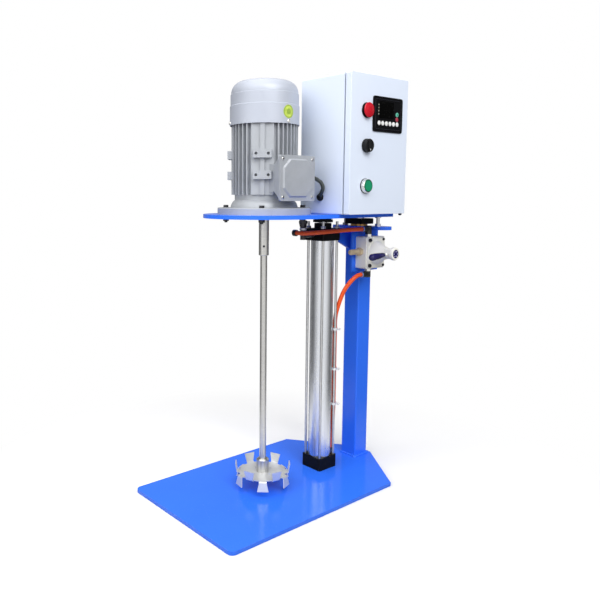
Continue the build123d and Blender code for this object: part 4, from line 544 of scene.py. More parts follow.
FINISHES = {
    "frame": coat("Gloss frame paint", "frame_blue", "frame_deep", patch=0.25, patch_scale=5.0,
                  peel_scale=700.0, roughness=0.13, spread=0.06, bump=0.02, specular_ior_level=0.26),
    "cowl": coat("Silver cowl paint", "cowl_grey", (0.38, 0.41, 0.48), patch_scale=7.0,
                 peel_scale=620.0, roughness=0.44, bump=0.06, metallic=0.15),
    "cabinet": coat("Cabinet powder coat", "cabinet_pale", (0.66, 0.73, 0.86), patch=0.35,
                    patch_scale=4.0, peel_scale=480.0, roughness=0.42, spread=0.08, bump=0.12),
    "cap": coat("Black anodised cap", "cap_black", (0.009, 0.009, 0.011), patch=0.5,
                patch_scale=30.0, bump=0.04, specular_ior_level=0.08),
    "hose": coat("Orange hose", "hose_orange", (0.86, 0.08, 0.016), patch=0.35, patch_scale=30.0,
                 peel_scale=500.0, bump=0.03, specular_ior_level=0.3),
    "film": coat("Keypad film", (0.003, 0.003, 0.004), (0.006, 0.006, 0.007), patch_scale=40.0,
                 roughness=0.34, spread=0.08, bump=0.03, specular_ior_level=0.08),
    "bead": coat("Keypad bead", (0.018, 0.018, 0.026), (0.008, 0.008, 0.012), patch=0.6,
                 patch_scale=60.0, spread=0.08, bump=0.03, specular_ior_level=0.2),
    "screen": coat("Dark screen", (0.001, 0.001, 0.001), (0.002, 0.002, 0.002), patch=0.5,
                   patch_scale=60.0, roughness=0.12, spread=0.04, specular_ior_level=0.06),
    "vinyl": coat("Sticker vinyl", "sticker_green", (0.22, 0.36, 0.03), patch=0.6,
                  patch_scale=160.0, roughness=0.34, bump=0.03),
    "olive": coat("Sticker print", (0.30, 0.42, 0.05), (0.20, 0.32, 0.03), patch=0.6,
                  patch_scale=300.0, roughness=0.34, bump=0.03),
    "alloy": drawn("Anodised barrel", (0.74, 0.76, 0.79), (0.56, 0.58, 0.62), stretch=(1, 1, 0.012),
                   streak_scale=620.0, roughness=0.20, spread=0.14, bump=0.03, metallic=1.0),
    "rod": drawn("Ground chrome rod", (0.80, 0.81, 0.83), (0.70, 0.71, 0.74), metallic=1.0,
                 stretch=(0.02, 0.02, 1), streaks=0.3, streak_scale=1500.0, roughness=0.07,
                 spread=0.06),
    "stainless": drawn("Turned stainless", (0.60, 0.595, 0.575), (0.42, 0.415, 0.40), bump=0.05,
                       stretch=(0.03, 0.03, 1), streaks=0.55, streak_scale=1100.0, roughness=0.22,
                       metallic=1.0),
    "disc": drawn("Brushed disc steel", (0.74, 0.75, 0.76), (0.60, 0.61, 0.62), bump=0.05,
                  stretch=(0.03, 1, 1), roughness=0.34, metallic=0.55),
    "zinc": drawn("Zinc plated steel", (0.58, 0.58, 0.57), (0.40, 0.40, 0.42), stretch=(1, 1, 0.4),
                  streaks=0.6, streak_scale=260.0, roughness=0.26, bump=0.05, metallic=1.0),
    "dark_steel": drawn("Blackened screw steel", (0.035, 0.035, 0.04), (0.09, 0.09, 0.095),
                        streaks=0.6, streak_scale=500.0, roughness=0.30, bump=0.04, metallic=0.8),
    "bright": drawn("Bright nickel", (0.74, 0.73, 0.70), (0.62, 0.61, 0.58), streaks=0.4,
                    streak_scale=300.0, roughness=0.12, spread=0.08, metallic=1.0),
    "bronze": drawn("Turned bronze", (0.52, 0.30, 0.10), (0.36, 0.20, 0.07), spread=0.12,
                    stretch=(0.05, 0.05, 1), roughness=0.28, metallic=1.0),
    "windings": drawn("Varnished windings", (0.42, 0.15, 0.05), (0.22, 0.08, 0.03), spread=0.2,
                      stretch=(1, 1, 0.1), streaks=0.7, streak_scale=500.0, roughness=0.35,
                      bump=0.3, metallic=0.4),
    "motor": cast("Silver motor paint", "motor_grey", (0.24, 0.25, 0.27), grain_scale=520.0,
                  grime=0.35, roughness=0.42, spread=0.14, bump=0.22, metallic=0.2),
    "valve": cast("Cream valve paint", "valve_cream", (0.78, 0.75, 0.66), grain_scale=420.0,
                  grime=0.35, roughness=0.36, spread=0.14, bump=0.14),
    "sinter": cast("Sintered bronze", (0.72, 0.60, 0.40), (0.42, 0.32, 0.19), grime=0.6,
                   roughness=0.50, spread=0.12, bump=0.5, metallic=0.3),
    "navy": cast("Navy grip", "grip_navy", (0.04, 0.025, 0.16), grain_scale=700.0, grime=0.4,
                 roughness=0.20, spread=0.10, bump=0.05, specular_ior_level=0.3),
    "badge": cast("Pale badge print", (0.38, 0.38, 0.62), (0.26, 0.26, 0.48), grain_scale=700.0,
                  grime=0.4, spread=0.10, bump=0.03),
    "black_plastic": cast("Moulded black plastic", (0.007, 0.007, 0.008), (0.016, 0.016, 0.018),
                          grain_scale=1100.0, grime=0.4, roughness=0.40, spread=0.12, bump=0.12,
                          specular_ior_level=0.18),
    "white_plastic": cast("Moulded white plastic", (0.80, 0.80, 0.79), (0.66, 0.66, 0.65),
                          roughness=0.36, spread=0.1, bump=0.06),
    "sheath": cast("Cable sheath", (0.024, 0.032, 0.028), (0.045, 0.050, 0.046), grain_scale=800.0,
                   grime=0.5, roughness=0.42, spread=0.12, bump=0.08),
    "drive": cast("Drive housing", (0.045, 0.048, 0.055), (0.08, 0.08, 0.09), grime=0.4,
                  roughness=0.45, spread=0.12, bump=0.10),
    "green": cast("Green plastic", "go_green", (0.006, 0.20, 0.09), roughness=0.26, bump=0.03,
                  specular_ior_level=0.2),
    "green_rim": cast("Green button rim", (0.004, 0.105, 0.050), (0.003, 0.07, 0.035),
                      roughness=0.26, bump=0.03, specular_ior_level=0.2),
    "red": cast("Red plastic", "halt_red", (0.38, 0.004, 0.012), roughness=0.24, bump=0.03,
                specular_ior_level=0.25),
    "run_film": cast("Run key film", (0.12, 0.48, 0.36), (0.07, 0.34, 0.26), grime=0.5,
                     roughness=0.32, bump=0.03),
    "halt_film": cast("Halt key film", (0.33, 0.045, 0.07), (0.22, 0.02, 0.035), grime=0.5,
                      roughness=0.32, bump=0.03),
    "lamp": cast("Pale lamp", (0.30, 0.30, 0.24), (0.20, 0.20, 0.15), spread=0.05),
    "dial": cast("Glossy dark dial", (0.012, 0.012, 0.020), (0.03, 0.03, 0.04), roughness=0.18,
                 bump=0.03),
    "fitting": cast("Fitting body", (0.012, 0.012, 0.014), (0.03, 0.03, 0.032), grime=0.4,
                    spread=0.1, bump=0.06),
    "release": cast("Blue release ring", (0.27, 0.34, 0.66), (0.20, 0.26, 0.55), roughness=0.32,
                    bump=0.04),
}
MADE = {}


def finish(key, name=None):
    """A finish as a material, made the first time it is asked for; with a name, one of its own."""
    if name:
        return finish_material(**{**FINISHES[key], "name": name})
    if key not in MADE:
        MADE[key] = finish_material(**FINISHES[key])
    return MADE[key]


# The pieces, one operator for each group


class MixerOperator:
    """What every operator here shares: it is undone as one step, and stops if it made nothing."""

    bl_options = {"REGISTER", "UNDO"}

    def finished(self, *pieces):
        """Stop with an error unless every piece was made."""
        if not all(pieces):
            raise RuntimeError(f"{self.bl_label} made nothing")
        return {"FINISHED"}


class MIXER_OT_frame_paint(MixerOperator, bpy.types.Operator):
    """Blue gloss paint on base, column, plates, rib and bracket, and the weld round the column's foot"""

    bl_idname = "mixer.frame_paint"
    bl_label = "Frame Paint and Weld"

    def execute(self, context):
        sizes = context.scene.mixer_fittings
        dress(finish("frame"), "base_plate", "column", "head_plate", "column_rib", "top_plate",
              "valve_bracket")
        inset, rise, corner = 0.0022, 0.0012, 0.004
        half_x, half_y, _ = (half - inset for half in halves("column"))
        path = rounded_square(half_x, half_y, corner, 220)
        path += [0, middle("column")[1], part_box("base_plate")[1].z + rise]
        ripples = 8 * half_x / sizes.ripple
        travel = np.linspace(0, 2 * np.pi * ripples, len(path), endpoint=False)
        bead = carried(path, sizes.bead * (0.92 + 0.10 * np.sin(travel)), closed=True)
        weld = make("foot_weld", bead, finish("frame"), "stand", sharp=80)
        return self.finished(weld)


class MIXER_OT_cylinder(MixerOperator, bpy.types.Operator):
    """Finishes of the air cylinder and guide rod, low nuts on the tie rods, and the guide's housing,
    whose black is partly painted shade
    """

    bl_idname = "mixer.cylinder"
    bl_label = "Cylinder Finishes"

    def execute(self, context):
        sizes = context.scene.mixer_fittings
        dress(finish("cap"), "cylinder_foot", "cylinder_head", "rod_flange", "rod_bush")
        dress(finish("alloy"), "cylinder_barrel", "piston")
        dress(finish("rod"), "piston_rod", "guide_rod")
        dress(finish("zinc"), "tie_rods", "stop_screws", "hinge_pins")
        dress(finish("bronze"), "guide_bush")
        r = sizes.tie_nut / 2
        stud = r * 0.58
        rows = [(0, 0), (r, 0, 6), (r, 0.0048, 6), (r * 0.90, 0.0056, 6), (stud, 0.0056),
                (stud, 0.0066), (stud * 0.85, 0.0071), (0, 0.0071)]
        nut = turned(rows, sizes.turns)
        half = halves("tie_rod_nuts")[0] - 0.005
        y, level = middle("tie_rod_nuts")[1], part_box("tie_rod_nuts")[0].z
        shapes = [placed(nut, (side * half, y + rise * half, level), UP) for side, rise in CORNERS]
        nuts = make("low_tie_nuts", together(shapes), finish("zinc"), "stand")
        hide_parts("tie_rod_nuts")
        # The guide's housing is black. It is partly a real block round the guide rod and partly painted
        # shade: its black stands in for the shadow under the top plate.
        bore = halves("guide_rod")[0] + 0.0002
        block = drilled(0.058, 0.044, 0.0135, 0.006, 0.0010, bore)
        x, y, _ = middle("guide_bush")
        at = (x, y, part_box("guide_bush")[1].z)
        housing = make("guide_housing", placed(block, at, UP, (0, 1, 0)), finish("cap"), "stand")
        return self.finished(nuts, housing)


class MIXER_OT_motor(MixerOperator, bpy.types.Operator):
    """Finishes of the motor's castings, its cowl and what is inside it, and its flange bolts"""

    bl_idname = "mixer.motor"
    bl_label = "Motor Finishes"

    def execute(self, context):
        dress(finish("motor"), "motor_flange", "motor_frame", "rear_shield", "terminal_box",
              "terminal_lid")
        dress(finish("cowl"), "motor_cowl")
        dress(finish("zinc"), "bearings", "rotor_core")
        dress(finish("black_plastic"), "cooling_fan", "cable_glands")
        dress(finish("windings"), "stator")
        dress(finish("sheath"), "motor_lead")
        return self.finished(self.flange_bolts(context.scene.mixer_fittings))

    def flange_bolts(self, sizes):
        """Bolts through the flange and the plate: washer and hexagon above, nut and thread end
        below."""
        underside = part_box("top_plate")[0].z
        r = sizes.flange_head / 2
        over = [(0, 0), (r * 1.22, 0), (r * 1.22, 0.0010), (r, 0.0010, 6), (r, 0.0046, 6),
                (r * 0.88, 0.0054, 6), (0, 0.0054)]
        under = [(0, -0.0001), (r * 1.5, -0.0001), (r * 1.5, 0.0012), (r * 1.2, 0.0012, 6),
                 (r * 1.2, 0.0062, 6), (r * 1.1, 0.0072, 6), (0.0034, 0.0072), (0.0034, 0.0098),
                 (0.0029, 0.0103), (0, 0.0103)]
        shapes = []
        for cosine, sine in headings(45.0, 135.0, 225.0, 315.0):
            x, y = BOLT_CIRCLE * cosine, BOLT_CIRCLE * sine
            shapes += [lathed(over, (x, y, FLANGE_SEAT), UP, sizes.turns),
                       lathed(under, (x, y, underside), DOWN, sizes.turns)]
        bolts = make("flange_fasteners", together(shapes), finish("dark_steel"), "carriage")
        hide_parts("flange_bolts")
        return bolts


class MIXER_OT_shaft(MixerOperator, bpy.types.Operator):
    """Finishes of the motor shaft, sleeve, mixing shaft, disc and hub"""

    bl_idname = "mixer.shaft"
    bl_label = "Shaft and Disc Finishes"

    def execute(self, context):
        dress(finish("stainless"), "motor_shaft", "coupling_sleeve", "mixing_shaft", "disc_hub")
        dress(finish("disc"), "disperser_disc")
        return self.finished(finish("stainless"), finish("disc"))


class MIXER_OT_cabinet(MixerOperator, bpy.types.Operator):
    """Powder coat on case and door, and the finishes inside"""

    bl_idname = "mixer.cabinet"
    bl_label = "Cabinet Finishes"

    def execute(self, context):
        dress(finish("cabinet"), "enclosure", "door")
        dress(finish("zinc"), "mounting_plate")
        dress(finish("drive"), "inverter", "switch_bodies")
        return self.finished(finish("cabinet"), finish("drive"))


class MIXER_OT_controls(MixerOperator, bpy.types.Operator):
    """The low keypad in its cut-out, with its inner bead, screen, keys and lamps"""

    bl_idname = "mixer.controls"
    bl_label = "Keypad"

    proud, sunk = 0.0028, 0.0001
    key_level, key_pitch, key_count = -0.0184, 0.0121, 6
    run_key, halt_key = (0.0294, 0.0020), (0.0290, -0.0080)
    screen_middle = (-0.0064, 0.009)
    lamp_side, lamp_levels = -0.0322, (0.0, 0.0064, 0.0128, 0.0192)

    def execute(self, context):
        _, y, z = middle("keypad")
        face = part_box("door")[1].x
        top = face + self.proud

        def at(aside, level, lift=-self.sunk):
            """A point on the keypad's front from its middle."""
            return top + lift, y + aside, z + level

        def piece(name, shapes, key, sharp=35.0):
            """A piece of the keypad, which rides on the door."""
            return make(name, together(shapes), finish(key), "door_leaf", sharp)

        def flat(x, offset, *sizes):
            """A rounded plate that faces the operator."""
            return placed(panel(*sizes), (x, y + offset[0], z + offset[1]), FRONT)

        plate = flat(face, (0, 0), 0.098, 0.073, self.proud, 0.0050, 0.0007, 160)
        back = flat(face - 0.0134, (0, 0), 0.0890, 0.0620, 0.0135, 0.0012, 0.0002, 96)
        pad = piece("low_keypad", [plate, back], "film")
        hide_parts("keypad")
        loop = carried(rounded_square(0.0425, 0.0305, 0.003, 160), 0.00055, 8, closed=True)
        bead = piece("keypad_bead", [placed(loop, (top, y, z), FRONT)], "bead", 80)
        glass = flat(top - self.sunk, self.screen_middle, 0.048, 0.035, 0.0006, 0.0015, 0.0002, 96)
        screen = piece("keypad_screen", [glass], "screen")
        dome = turned([(0, 0), (0.0046, 0), (0.0048, 0.0003), (0.0047, 0.0006), (0.0036, 0.0010),
                       (0.002, 0.00125), (0, 0.0013)], context.scene.mixer_fittings.turns)
        across = (np.arange(self.key_count) - (self.key_count - 1) / 2) * self.key_pitch - 0.0002
        keys = piece("keypad_keys", [placed(dome, at(aside, self.key_level), FRONT)
                                     for aside in across], "white_plastic")
        strip = flat(top - self.sunk, (0, self.key_level), 0.060, 0.0012, 0.0003, 0.0004, 0.0001, 32)
        line = piece("keypad_line", [strip], "lamp")
        run = piece("run_key", [placed(dome, at(*self.run_key), FRONT)], "run_film")
        halt = piece("halt_key", [placed(dome, at(*self.halt_key), FRONT)], "halt_film")
        dot = turned([(0, 0), (0.0017, 0), (0.0017, 0.0002), (0.0012, 0.00035), (0, 0.0004)], 24)
        run_dot = piece("run_key_middle", [placed(dot, at(*self.run_key, 0.0010), FRONT)], "green")
        halt_dot = piece("halt_key_middle", [placed(dot, at(*self.halt_key, 0.0010), FRONT)], "red")
        lamps = piece("keypad_lamps", [placed(dot, at(self.lamp_side, level), FRONT)
                                       for level in self.lamp_levels], "lamp")
        return self.finished(pad, bead, screen, keys, line, run, halt, run_dot, halt_dot, lamps)


class MIXER_OT_buttons(MixerOperator, bpy.types.Operator):
    """The low red button, the start button's pale collar, their black rings, and the knob's bar"""

    bl_idname = "mixer.buttons"
    bl_label = "Buttons and Speed Knob"

    def execute(self, context):
        steps = context.scene.mixer_fittings.turns
        dress(finish("green"), "start_button")
        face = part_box("door")[1].x
        stop_at, start_at, (_, knob_y, knob_z) = (
            (face, *middle(node)[1:]) for node in ("stop_button", "start_button", "speed_knob"))

        def piece(name, rows, origin, key, body, slot, closed=False):
            """A turned piece that faces the operator."""
            return make(name, lathed(rows, origin, FRONT, steps, closed), finish(key), body)

        cap = [(0, 0.0058), (0.0146, 0.0058), (0.0153, 0.0062), (0.0153, 0.0072), (0.0148, 0.0079),
               (0.0120, 0.0090), (0.0095, 0.0091), (0.0091, 0.0094), (0.0050, 0.0098), (0, 0.0099)]
        stop = piece("stop_cap", cap, stop_at, "red", "stop", "red_plastic")
        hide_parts("stop_button")
        stem_rows = [(0, -0.0080), (0.0059, -0.0080), (0.0059, 0.0059), (0, 0.0059)]
        stem = piece("stop_stem", stem_rows, stop_at, "black_plastic", "stop", "knob_black")
        wide = [(0.0064, 0), (0.0157, 0), (0.0157, 0.0008), (0.0150, 0.0013), (0.0070, 0.0013),
                (0.0064, 0.0009)]
        thin = [(0.0128, 0), (0.0155, 0), (0.0155, 0.0018), (0.0150, 0.0025), (0.0128, 0.0025)]
        rings = make("button_rings", together([lathed(wide, stop_at, FRONT, steps, closed=True),
                                               lathed(thin, start_at, FRONT, steps, closed=True)]),
                     finish("black_plastic"), "door_leaf")
        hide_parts("button_bezels")
        collar_rows = [(0.0128, 0.0024), (0.0150, 0.0024), (0.0149, 0.0034), (0.0137, 0.0086),
                       (0.0134, 0.0092), (0.0130, 0.0092), (0.0128, 0.0088)]
        collar = piece("start_collar", collar_rows, start_at, "bright", "door_leaf", "bezel_bright",
                       closed=True)
        rim_profile = [(0.0106, 0.0097), (0.0122, 0.0097), (0.0123, 0.0099), (0.0119, 0.0103),
                       (0.0109, 0.0103), (0.0106, 0.0101)]
        rim = piece("start_rim", rim_profile, start_at, "green_rim", "start", "green_plastic",
                    closed=True)
        skirt = [(0, -0.0115), (0.0030, -0.0115), (0.0030, 0.0008), (0.0140, 0.0008),
                 (0.0143, 0.0012), (0.0143, 0.0030), (0.0138, 0.0036), (0.0135, 0.0104),
                 (0.0127, 0.0113), (0.0112, 0.0113), (0.0106, 0.0106), (0, 0.0106)]
        bar = placed(panel(0.0068, 0.0225, 0.0026, 0.0030, 0.0007, 64),
                     (face + 0.0103, knob_y, knob_z), FRONT)
        disc = lathed(skirt, (face, knob_y, knob_z), FRONT, steps)
        knob = make("bar_knob", together([disc, bar]), finish("black_plastic"), "speed")
        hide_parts("speed_knob")
        # A small white dash near the lower end of the knob's bar.
        dash = placed(panel(0.0018, 0.0036, 0.0005, 0.0005, 0.0001, 32),
                      (face + 0.0126, knob_y, knob_z - 0.0084), FRONT)
        white_dash = make("knob_mark", dash, finish("white_plastic"), "speed")
        return self.finished(stop, stem, rings, collar, rim, knob, white_dash)


class MIXER_OT_motor_screws(MixerOperator, bpy.types.Operator):
    """Pan screws round the cowl's edge and in the terminal box lid"""

    bl_idname = "mixer.motor_screws"
    bl_label = "Cowl and Lid Screws"

    def execute(self, context):
        sizes = context.scene.mixer_fittings
        r = sizes.pan_screw / 2
        rows = [(0, 0), (r, 0), (r, r * 0.25), (r * 0.86, r * 0.55), (r * 0.62, r * 0.7),
                (r * 0.42, r * 0.72, 6), (r * 0.40, r * 0.30, 6), (0, r * 0.28)]
        head = turned(rows, sizes.turns)
        seat_radius, level = halves("motor_cowl")[0] * 0.9985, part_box("motor_cowl")[0].z + 0.0045
        shapes = [placed(head, (seat_radius * x, seat_radius * y, level), (x, y, 0))
                  for x, y in headings(0.0, 120.0, -120.0)]
        cowl = make("cowl_screws", together(shapes), finish("bright"), "carriage")
        margin = 0.0075
        _, y, z = middle("terminal_lid")
        _, half_y, half_z = (half - margin for half in halves("terminal_lid"))
        places = [(y + side * half_y, z + rise * half_z) for side, rise in CORNERS]
        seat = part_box("terminal_lid")[0].x + 0.0035
        shapes = [placed(head, (seat, *place), FRONT) for place in places]
        lid = make("lid_screws", together(shapes), finish("zinc"), "carriage")
        socket = [(0, 0), (r * 0.40, 0, 6), (r * 0.40, r * 0.12, 6), (0, r * 0.13)]
        shapes = [lathed(socket, (seat + r * 0.29, *place), FRONT, 24) for place in places]
        sockets = make("lid_screw_sockets", together(shapes), finish("dark_steel"), "carriage")
        return self.finished(cowl, lid, sockets)


class MIXER_OT_sticker(MixerOperator, bpy.types.Operator):
    """A plain round sticker on the cowl, bent to its curve, with two darker rings and no words"""

    bl_idname = "mixer.sticker"
    bl_label = "Cowl Sticker"

    def execute(self, context):
        radius = context.scene.mixer_fittings.sticker / 2
        at = (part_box("motor_cowl")[0].z + 0.0235, halves("motor_cowl")[0])
        disc = self.bent(np.linspace(0.02, 1.0, 9) * radius, *at, 0.00005, 0.00028)
        marks = together([self.bent(np.linspace(inner, outer, count) * radius, *at, 0.00020, 0.00034)
                          for inner, outer, count in ((0.02, 0.42, 5), (0.80, 0.96, 3))])
        sticker = make("cowl_sticker", disc, finish("vinyl"), "carriage", sharp=60)
        rings = make("sticker_rings", marks, finish("olive"), "carriage", sharp=60)
        return self.finished(sticker, rings)

    def bent(self, ring, level, reach, under, over):
        """A sheet of rings lying on a cylinder: y = r cos, z = level + r sin, x = sqrt(reach^2 - y^2),
        at two lifts off it, the rims joined."""
        angle = np.linspace(0, 2 * np.pi, 48, endpoint=False)
        y = ring[:, None] * np.cos(angle)
        z = level + ring[:, None] * np.sin(angle)
        low, high = (np.stack([np.sqrt((reach + lift) ** 2 - y ** 2), y, z], axis=-1)
                     for lift in (under, over))
        points = np.concatenate([low[::-1], high]).reshape(-1, 3)
        return points, ring_faces(2 * len(ring), len(angle), closed=True)


class MIXER_OT_valve(MixerOperator, bpy.types.Operator):
    """Hand valve: its finishes, the cover's cone and screws, and the rim and badge on the lever"""

    bl_idname = "mixer.valve"
    bl_label = "Hand Valve"

    small, cover_depth = 0.66, 0.004
    screw_places = ((-0.0256, 0.0300), (0.0248, 0.0310))
    print_radius = 0.0064

    def execute(self, context):
        sizes = context.scene.mixer_fittings
        dress(finish("valve"), "valve_body", "valve_cover", "valve_lever")
        dress(finish("navy"), "lever_knob")
        dress(finish("sinter"), "silencer")
        _, y, z = middle("valve_cover")
        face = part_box("valve_body")[1].x + self.cover_depth
        r = sizes.cap_screw / 2
        rows = [(0, -0.0005), (r, -0.0005), (r, r * 0.85), (r * 0.88, r), (r * 0.62, r, 6),
                (r * 0.60, r * 0.35, 6), (0, r * 0.3)]
        small_rows = [(row[0] * self.small, row[1] * self.small, *row[2:]) for row in rows]
        shapes = [lathed(head, (face, y + aside, z + rise * level), FRONT, sizes.turns)
                  for head, (aside, level) in zip((rows, small_rows), self.screw_places)
                  for rise in (-1, 1)]
        screws = make("cover_screws", together(shapes), finish("dark_steel"), "stand")
        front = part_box("valve_lever")[1].x - 0.001
        hub, cover = (front, y, z), (face, y, z)
        disc = [(0, 0), (0.0112, 0), (0.0112, 0.0006), (0.0108, 0.0009), (0, 0.0009)]
        badge = make("lever_badge", lathed(disc, hub, FRONT, sizes.turns), finish("navy"), "lever")
        reach = self.print_radius
        shapes = [placed(panel(0.0034, 0.0030, 0.0004, 0.0008, 0.0001, 24),
                         (front + 0.0008, y + aside * reach, z + rise * reach), FRONT, (0, aside, rise))
                  for aside, rise in headings(*range(0, 360, 60))]
        bars = make("badge_print", together(shapes), finish("badge"), "lever")
        lip = [(0.0115, -0.0085), (0.0131, -0.0100), (0.0147, -0.0080), (0.0150, -0.0070),
               (0.0150, -0.0006), (0.0143, 0.0006), (0.0116, 0.0006), (0.0115, 0.0002)]
        rim = make("lever_rim", lathed(lip, hub, FRONT, sizes.turns, closed=True), finish("valve"),
                   "lever")
        slope = [(0.0128, 0.0), (0.0286, 0.0), (0.0284, 0.0022), (0.0262, 0.0070), (0.0222, 0.0130),
                 (0.0176, 0.0205), (0.0149, 0.0275), (0.0140, 0.0311), (0.0128, 0.0311)]
        cone = make("cover_cone", lathed(slope, cover, FRONT, sizes.turns, closed=True),
                    finish("valve"), "stand", 50)
        return self.finished(screws, badge, bars, rim, cone)


class MIXER_OT_air_fittings(MixerOperator, bpy.types.Operator):
    """Hoses and fittings: black bodies with nickel hexagons, and a blue release ring at each hose"""

    bl_idname = "mixer.air_fittings"
    bl_label = "Air Fittings and Hoses"

    nickel, dull_nickel = (0.70, 0.69, 0.66), (0.62, 0.62, 0.60)
    elbows = (("upper_elbow", UP), ("lower_elbow", DOWN), ("foot_elbow", (0, 1, 0)))

    def execute(self, context):
        sizes = context.scene.mixer_fittings
        dress(finish("hose"), "upper_hose", "lower_hose")
        dress(finish("white_plastic"), "cable_ties")
        dress(finish("dial"), "flow_knob")
        for node, out in self.elbows:
            start = min(Vector(out).dot(corner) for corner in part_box(node)) + 0.008
            body = finish("fitting", f"Fitting body of {node}")
            dress(banded(body, out, start - 0.001, start + 0.006, self.nickel, 1.0), node)
        flow = self.flow_control(sizes.turns)
        t = sizes.push_ring
        ring = [(0.0053, 0), (0.0068, 0), (0.0068, t * 0.6), (0.0063, t), (0.0055, t),
                (0.0053, t * 0.8)]
        upper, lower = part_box("upper_elbow"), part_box("lower_elbow")
        mouths = ((upper[0].y, upper[1].z - 0.0075), (lower[0].y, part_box("lower_hose")[1].z - 0.005))
        shapes = [lathed(ring, (HOSE_X, *mouth), (0, -1, 0), sizes.turns, closed=True)
                  for mouth in mouths]
        rings = make("release_rings", together(shapes), finish("release"), "stand")
        return self.finished(flow, rings)

    def flow_control(self, steps):
        """The flow control's body: an upright barrel with a collar, a run to the cap, a neck, and
        the short arm that takes the hose."""
        low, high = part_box("flow_control")
        bottom, top = low.z, high.z
        body = finish("fitting", "Flow control body")
        banded(body, UP, top - 0.005, top + 0.001, self.dull_nickel, 0.6)
        barrel = [(0, bottom), (0.0060, bottom), (0.0065, bottom + 0.0006), (0.0065, top - 0.005),
                  (0.0076, top - 0.005), (0.0080, top - 0.0045), (0.0080, top - 0.0006),
                  (0.0075, top), (0.0037, top), (0.0037, top - 0.0125), (0, top - 0.0125)]
        run = [(0, 0), (0.0065, 0), (0.0065, 0.033), (0.0045, 0.033), (0.0045, 0.041), (0, 0.041)]
        arm = [(0, 0), (0.0070, 0), (0.0075, 0.0005), (0.0075, 0.0083), (0.0068, 0.0090), (0, 0.0090)]
        start = Vector((*FLOW_AXIS, FLOW_ARM_LEVEL))
        end = Vector((-0.0125, FLOW_ARM_Y, FLOW_ARM_LEVEL))
        reach = (end - start).length
        neck = [(0, 0), (0.0040, 0), (0.0040, reach), (0, reach)]
        shapes = [lathed(barrel, (*FLOW_AXIS, 0), UP, steps),
                  lathed(run, (*FLOW_AXIS, FLOW_RUN_LEVEL), (0, 1, 0), steps),
                  lathed(neck, start, end - start, steps),
                  lathed(arm, (-0.008, FLOW_ARM_Y, FLOW_ARM_LEVEL), (-1, 0, 0), steps)]
        piece = make("short_flow_control", together(shapes), body, "stand")
        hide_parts("flow_control")
        return piece


class MIXER_OT_tie_heads(MixerOperator, bpy.types.Operator):
    """The lock and the cut tail of each cable tie"""

    bl_idname = "mixer.tie_heads"
    bl_label = "Cable Tie Heads"

    def execute(self, context):
        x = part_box("cable_ties")[1].x - 0.0006
        shapes = []
        for level in TIE_LEVELS:
            z = level + 0.0025
            shapes += [placed(panel(0.0058, 0.0052, 0.0036, 0.0008, 0.0005, 32), (x, TIE_Y, z),
                              (1, 0.25, 0)),
                       placed(panel(0.0026, 0.0011, 0.0062, 0.0004, 0.0002, 24),
                              (x + 0.0018, TIE_Y - 0.0005, z), (0.5, 1, 0.1))]
        locks = make("tie_locks", together(shapes), finish("white_plastic"), "stand")
        return self.finished(locks)


class MIXER_OT_set_screws(MixerOperator, bpy.types.Operator):
    """The sleeve's set screw and a black buffer under the door's lower rear corner"""

    bl_idname = "mixer.set_screws"
    bl_label = "Set Screw and Door Buffer"

    def execute(self, context):
        steps = context.scene.mixer_fittings.turns
        r, seat_radius, lift = 0.0024, 0.0078, 0.020
        rows = [(0, 0), (r, 0), (r, 0.0022), (r * 0.9, 0.0025), (r * 0.55, 0.0025, 6),
                (r * 0.53, 0.0012, 6), (0, 0.0011)]
        x, y = headings(-41.0)[0]
        at = (x * seat_radius, y * seat_radius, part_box("coupling_sleeve")[0].z + lift)
        screw = make("sleeve_set_screw", lathed(rows, at, (x, y, 0.0), steps), finish("dark_steel"),
                     "rotor")
        low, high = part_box("door")
        drop = [(0, -0.0046), (0.0022, -0.0042), (0.0036, -0.0030), (0.0040, -0.0015), (0.0032, 0),
                (0.0030, 0.0006), (0, 0.0006)]
        at = (high.x - 0.006, high.y - 0.008, low.z)
        buffer = make("door_buffer", lathed(drop, at, UP, steps), finish("black_plastic"),
                      "door_leaf")
        return self.finished(screw, buffer)


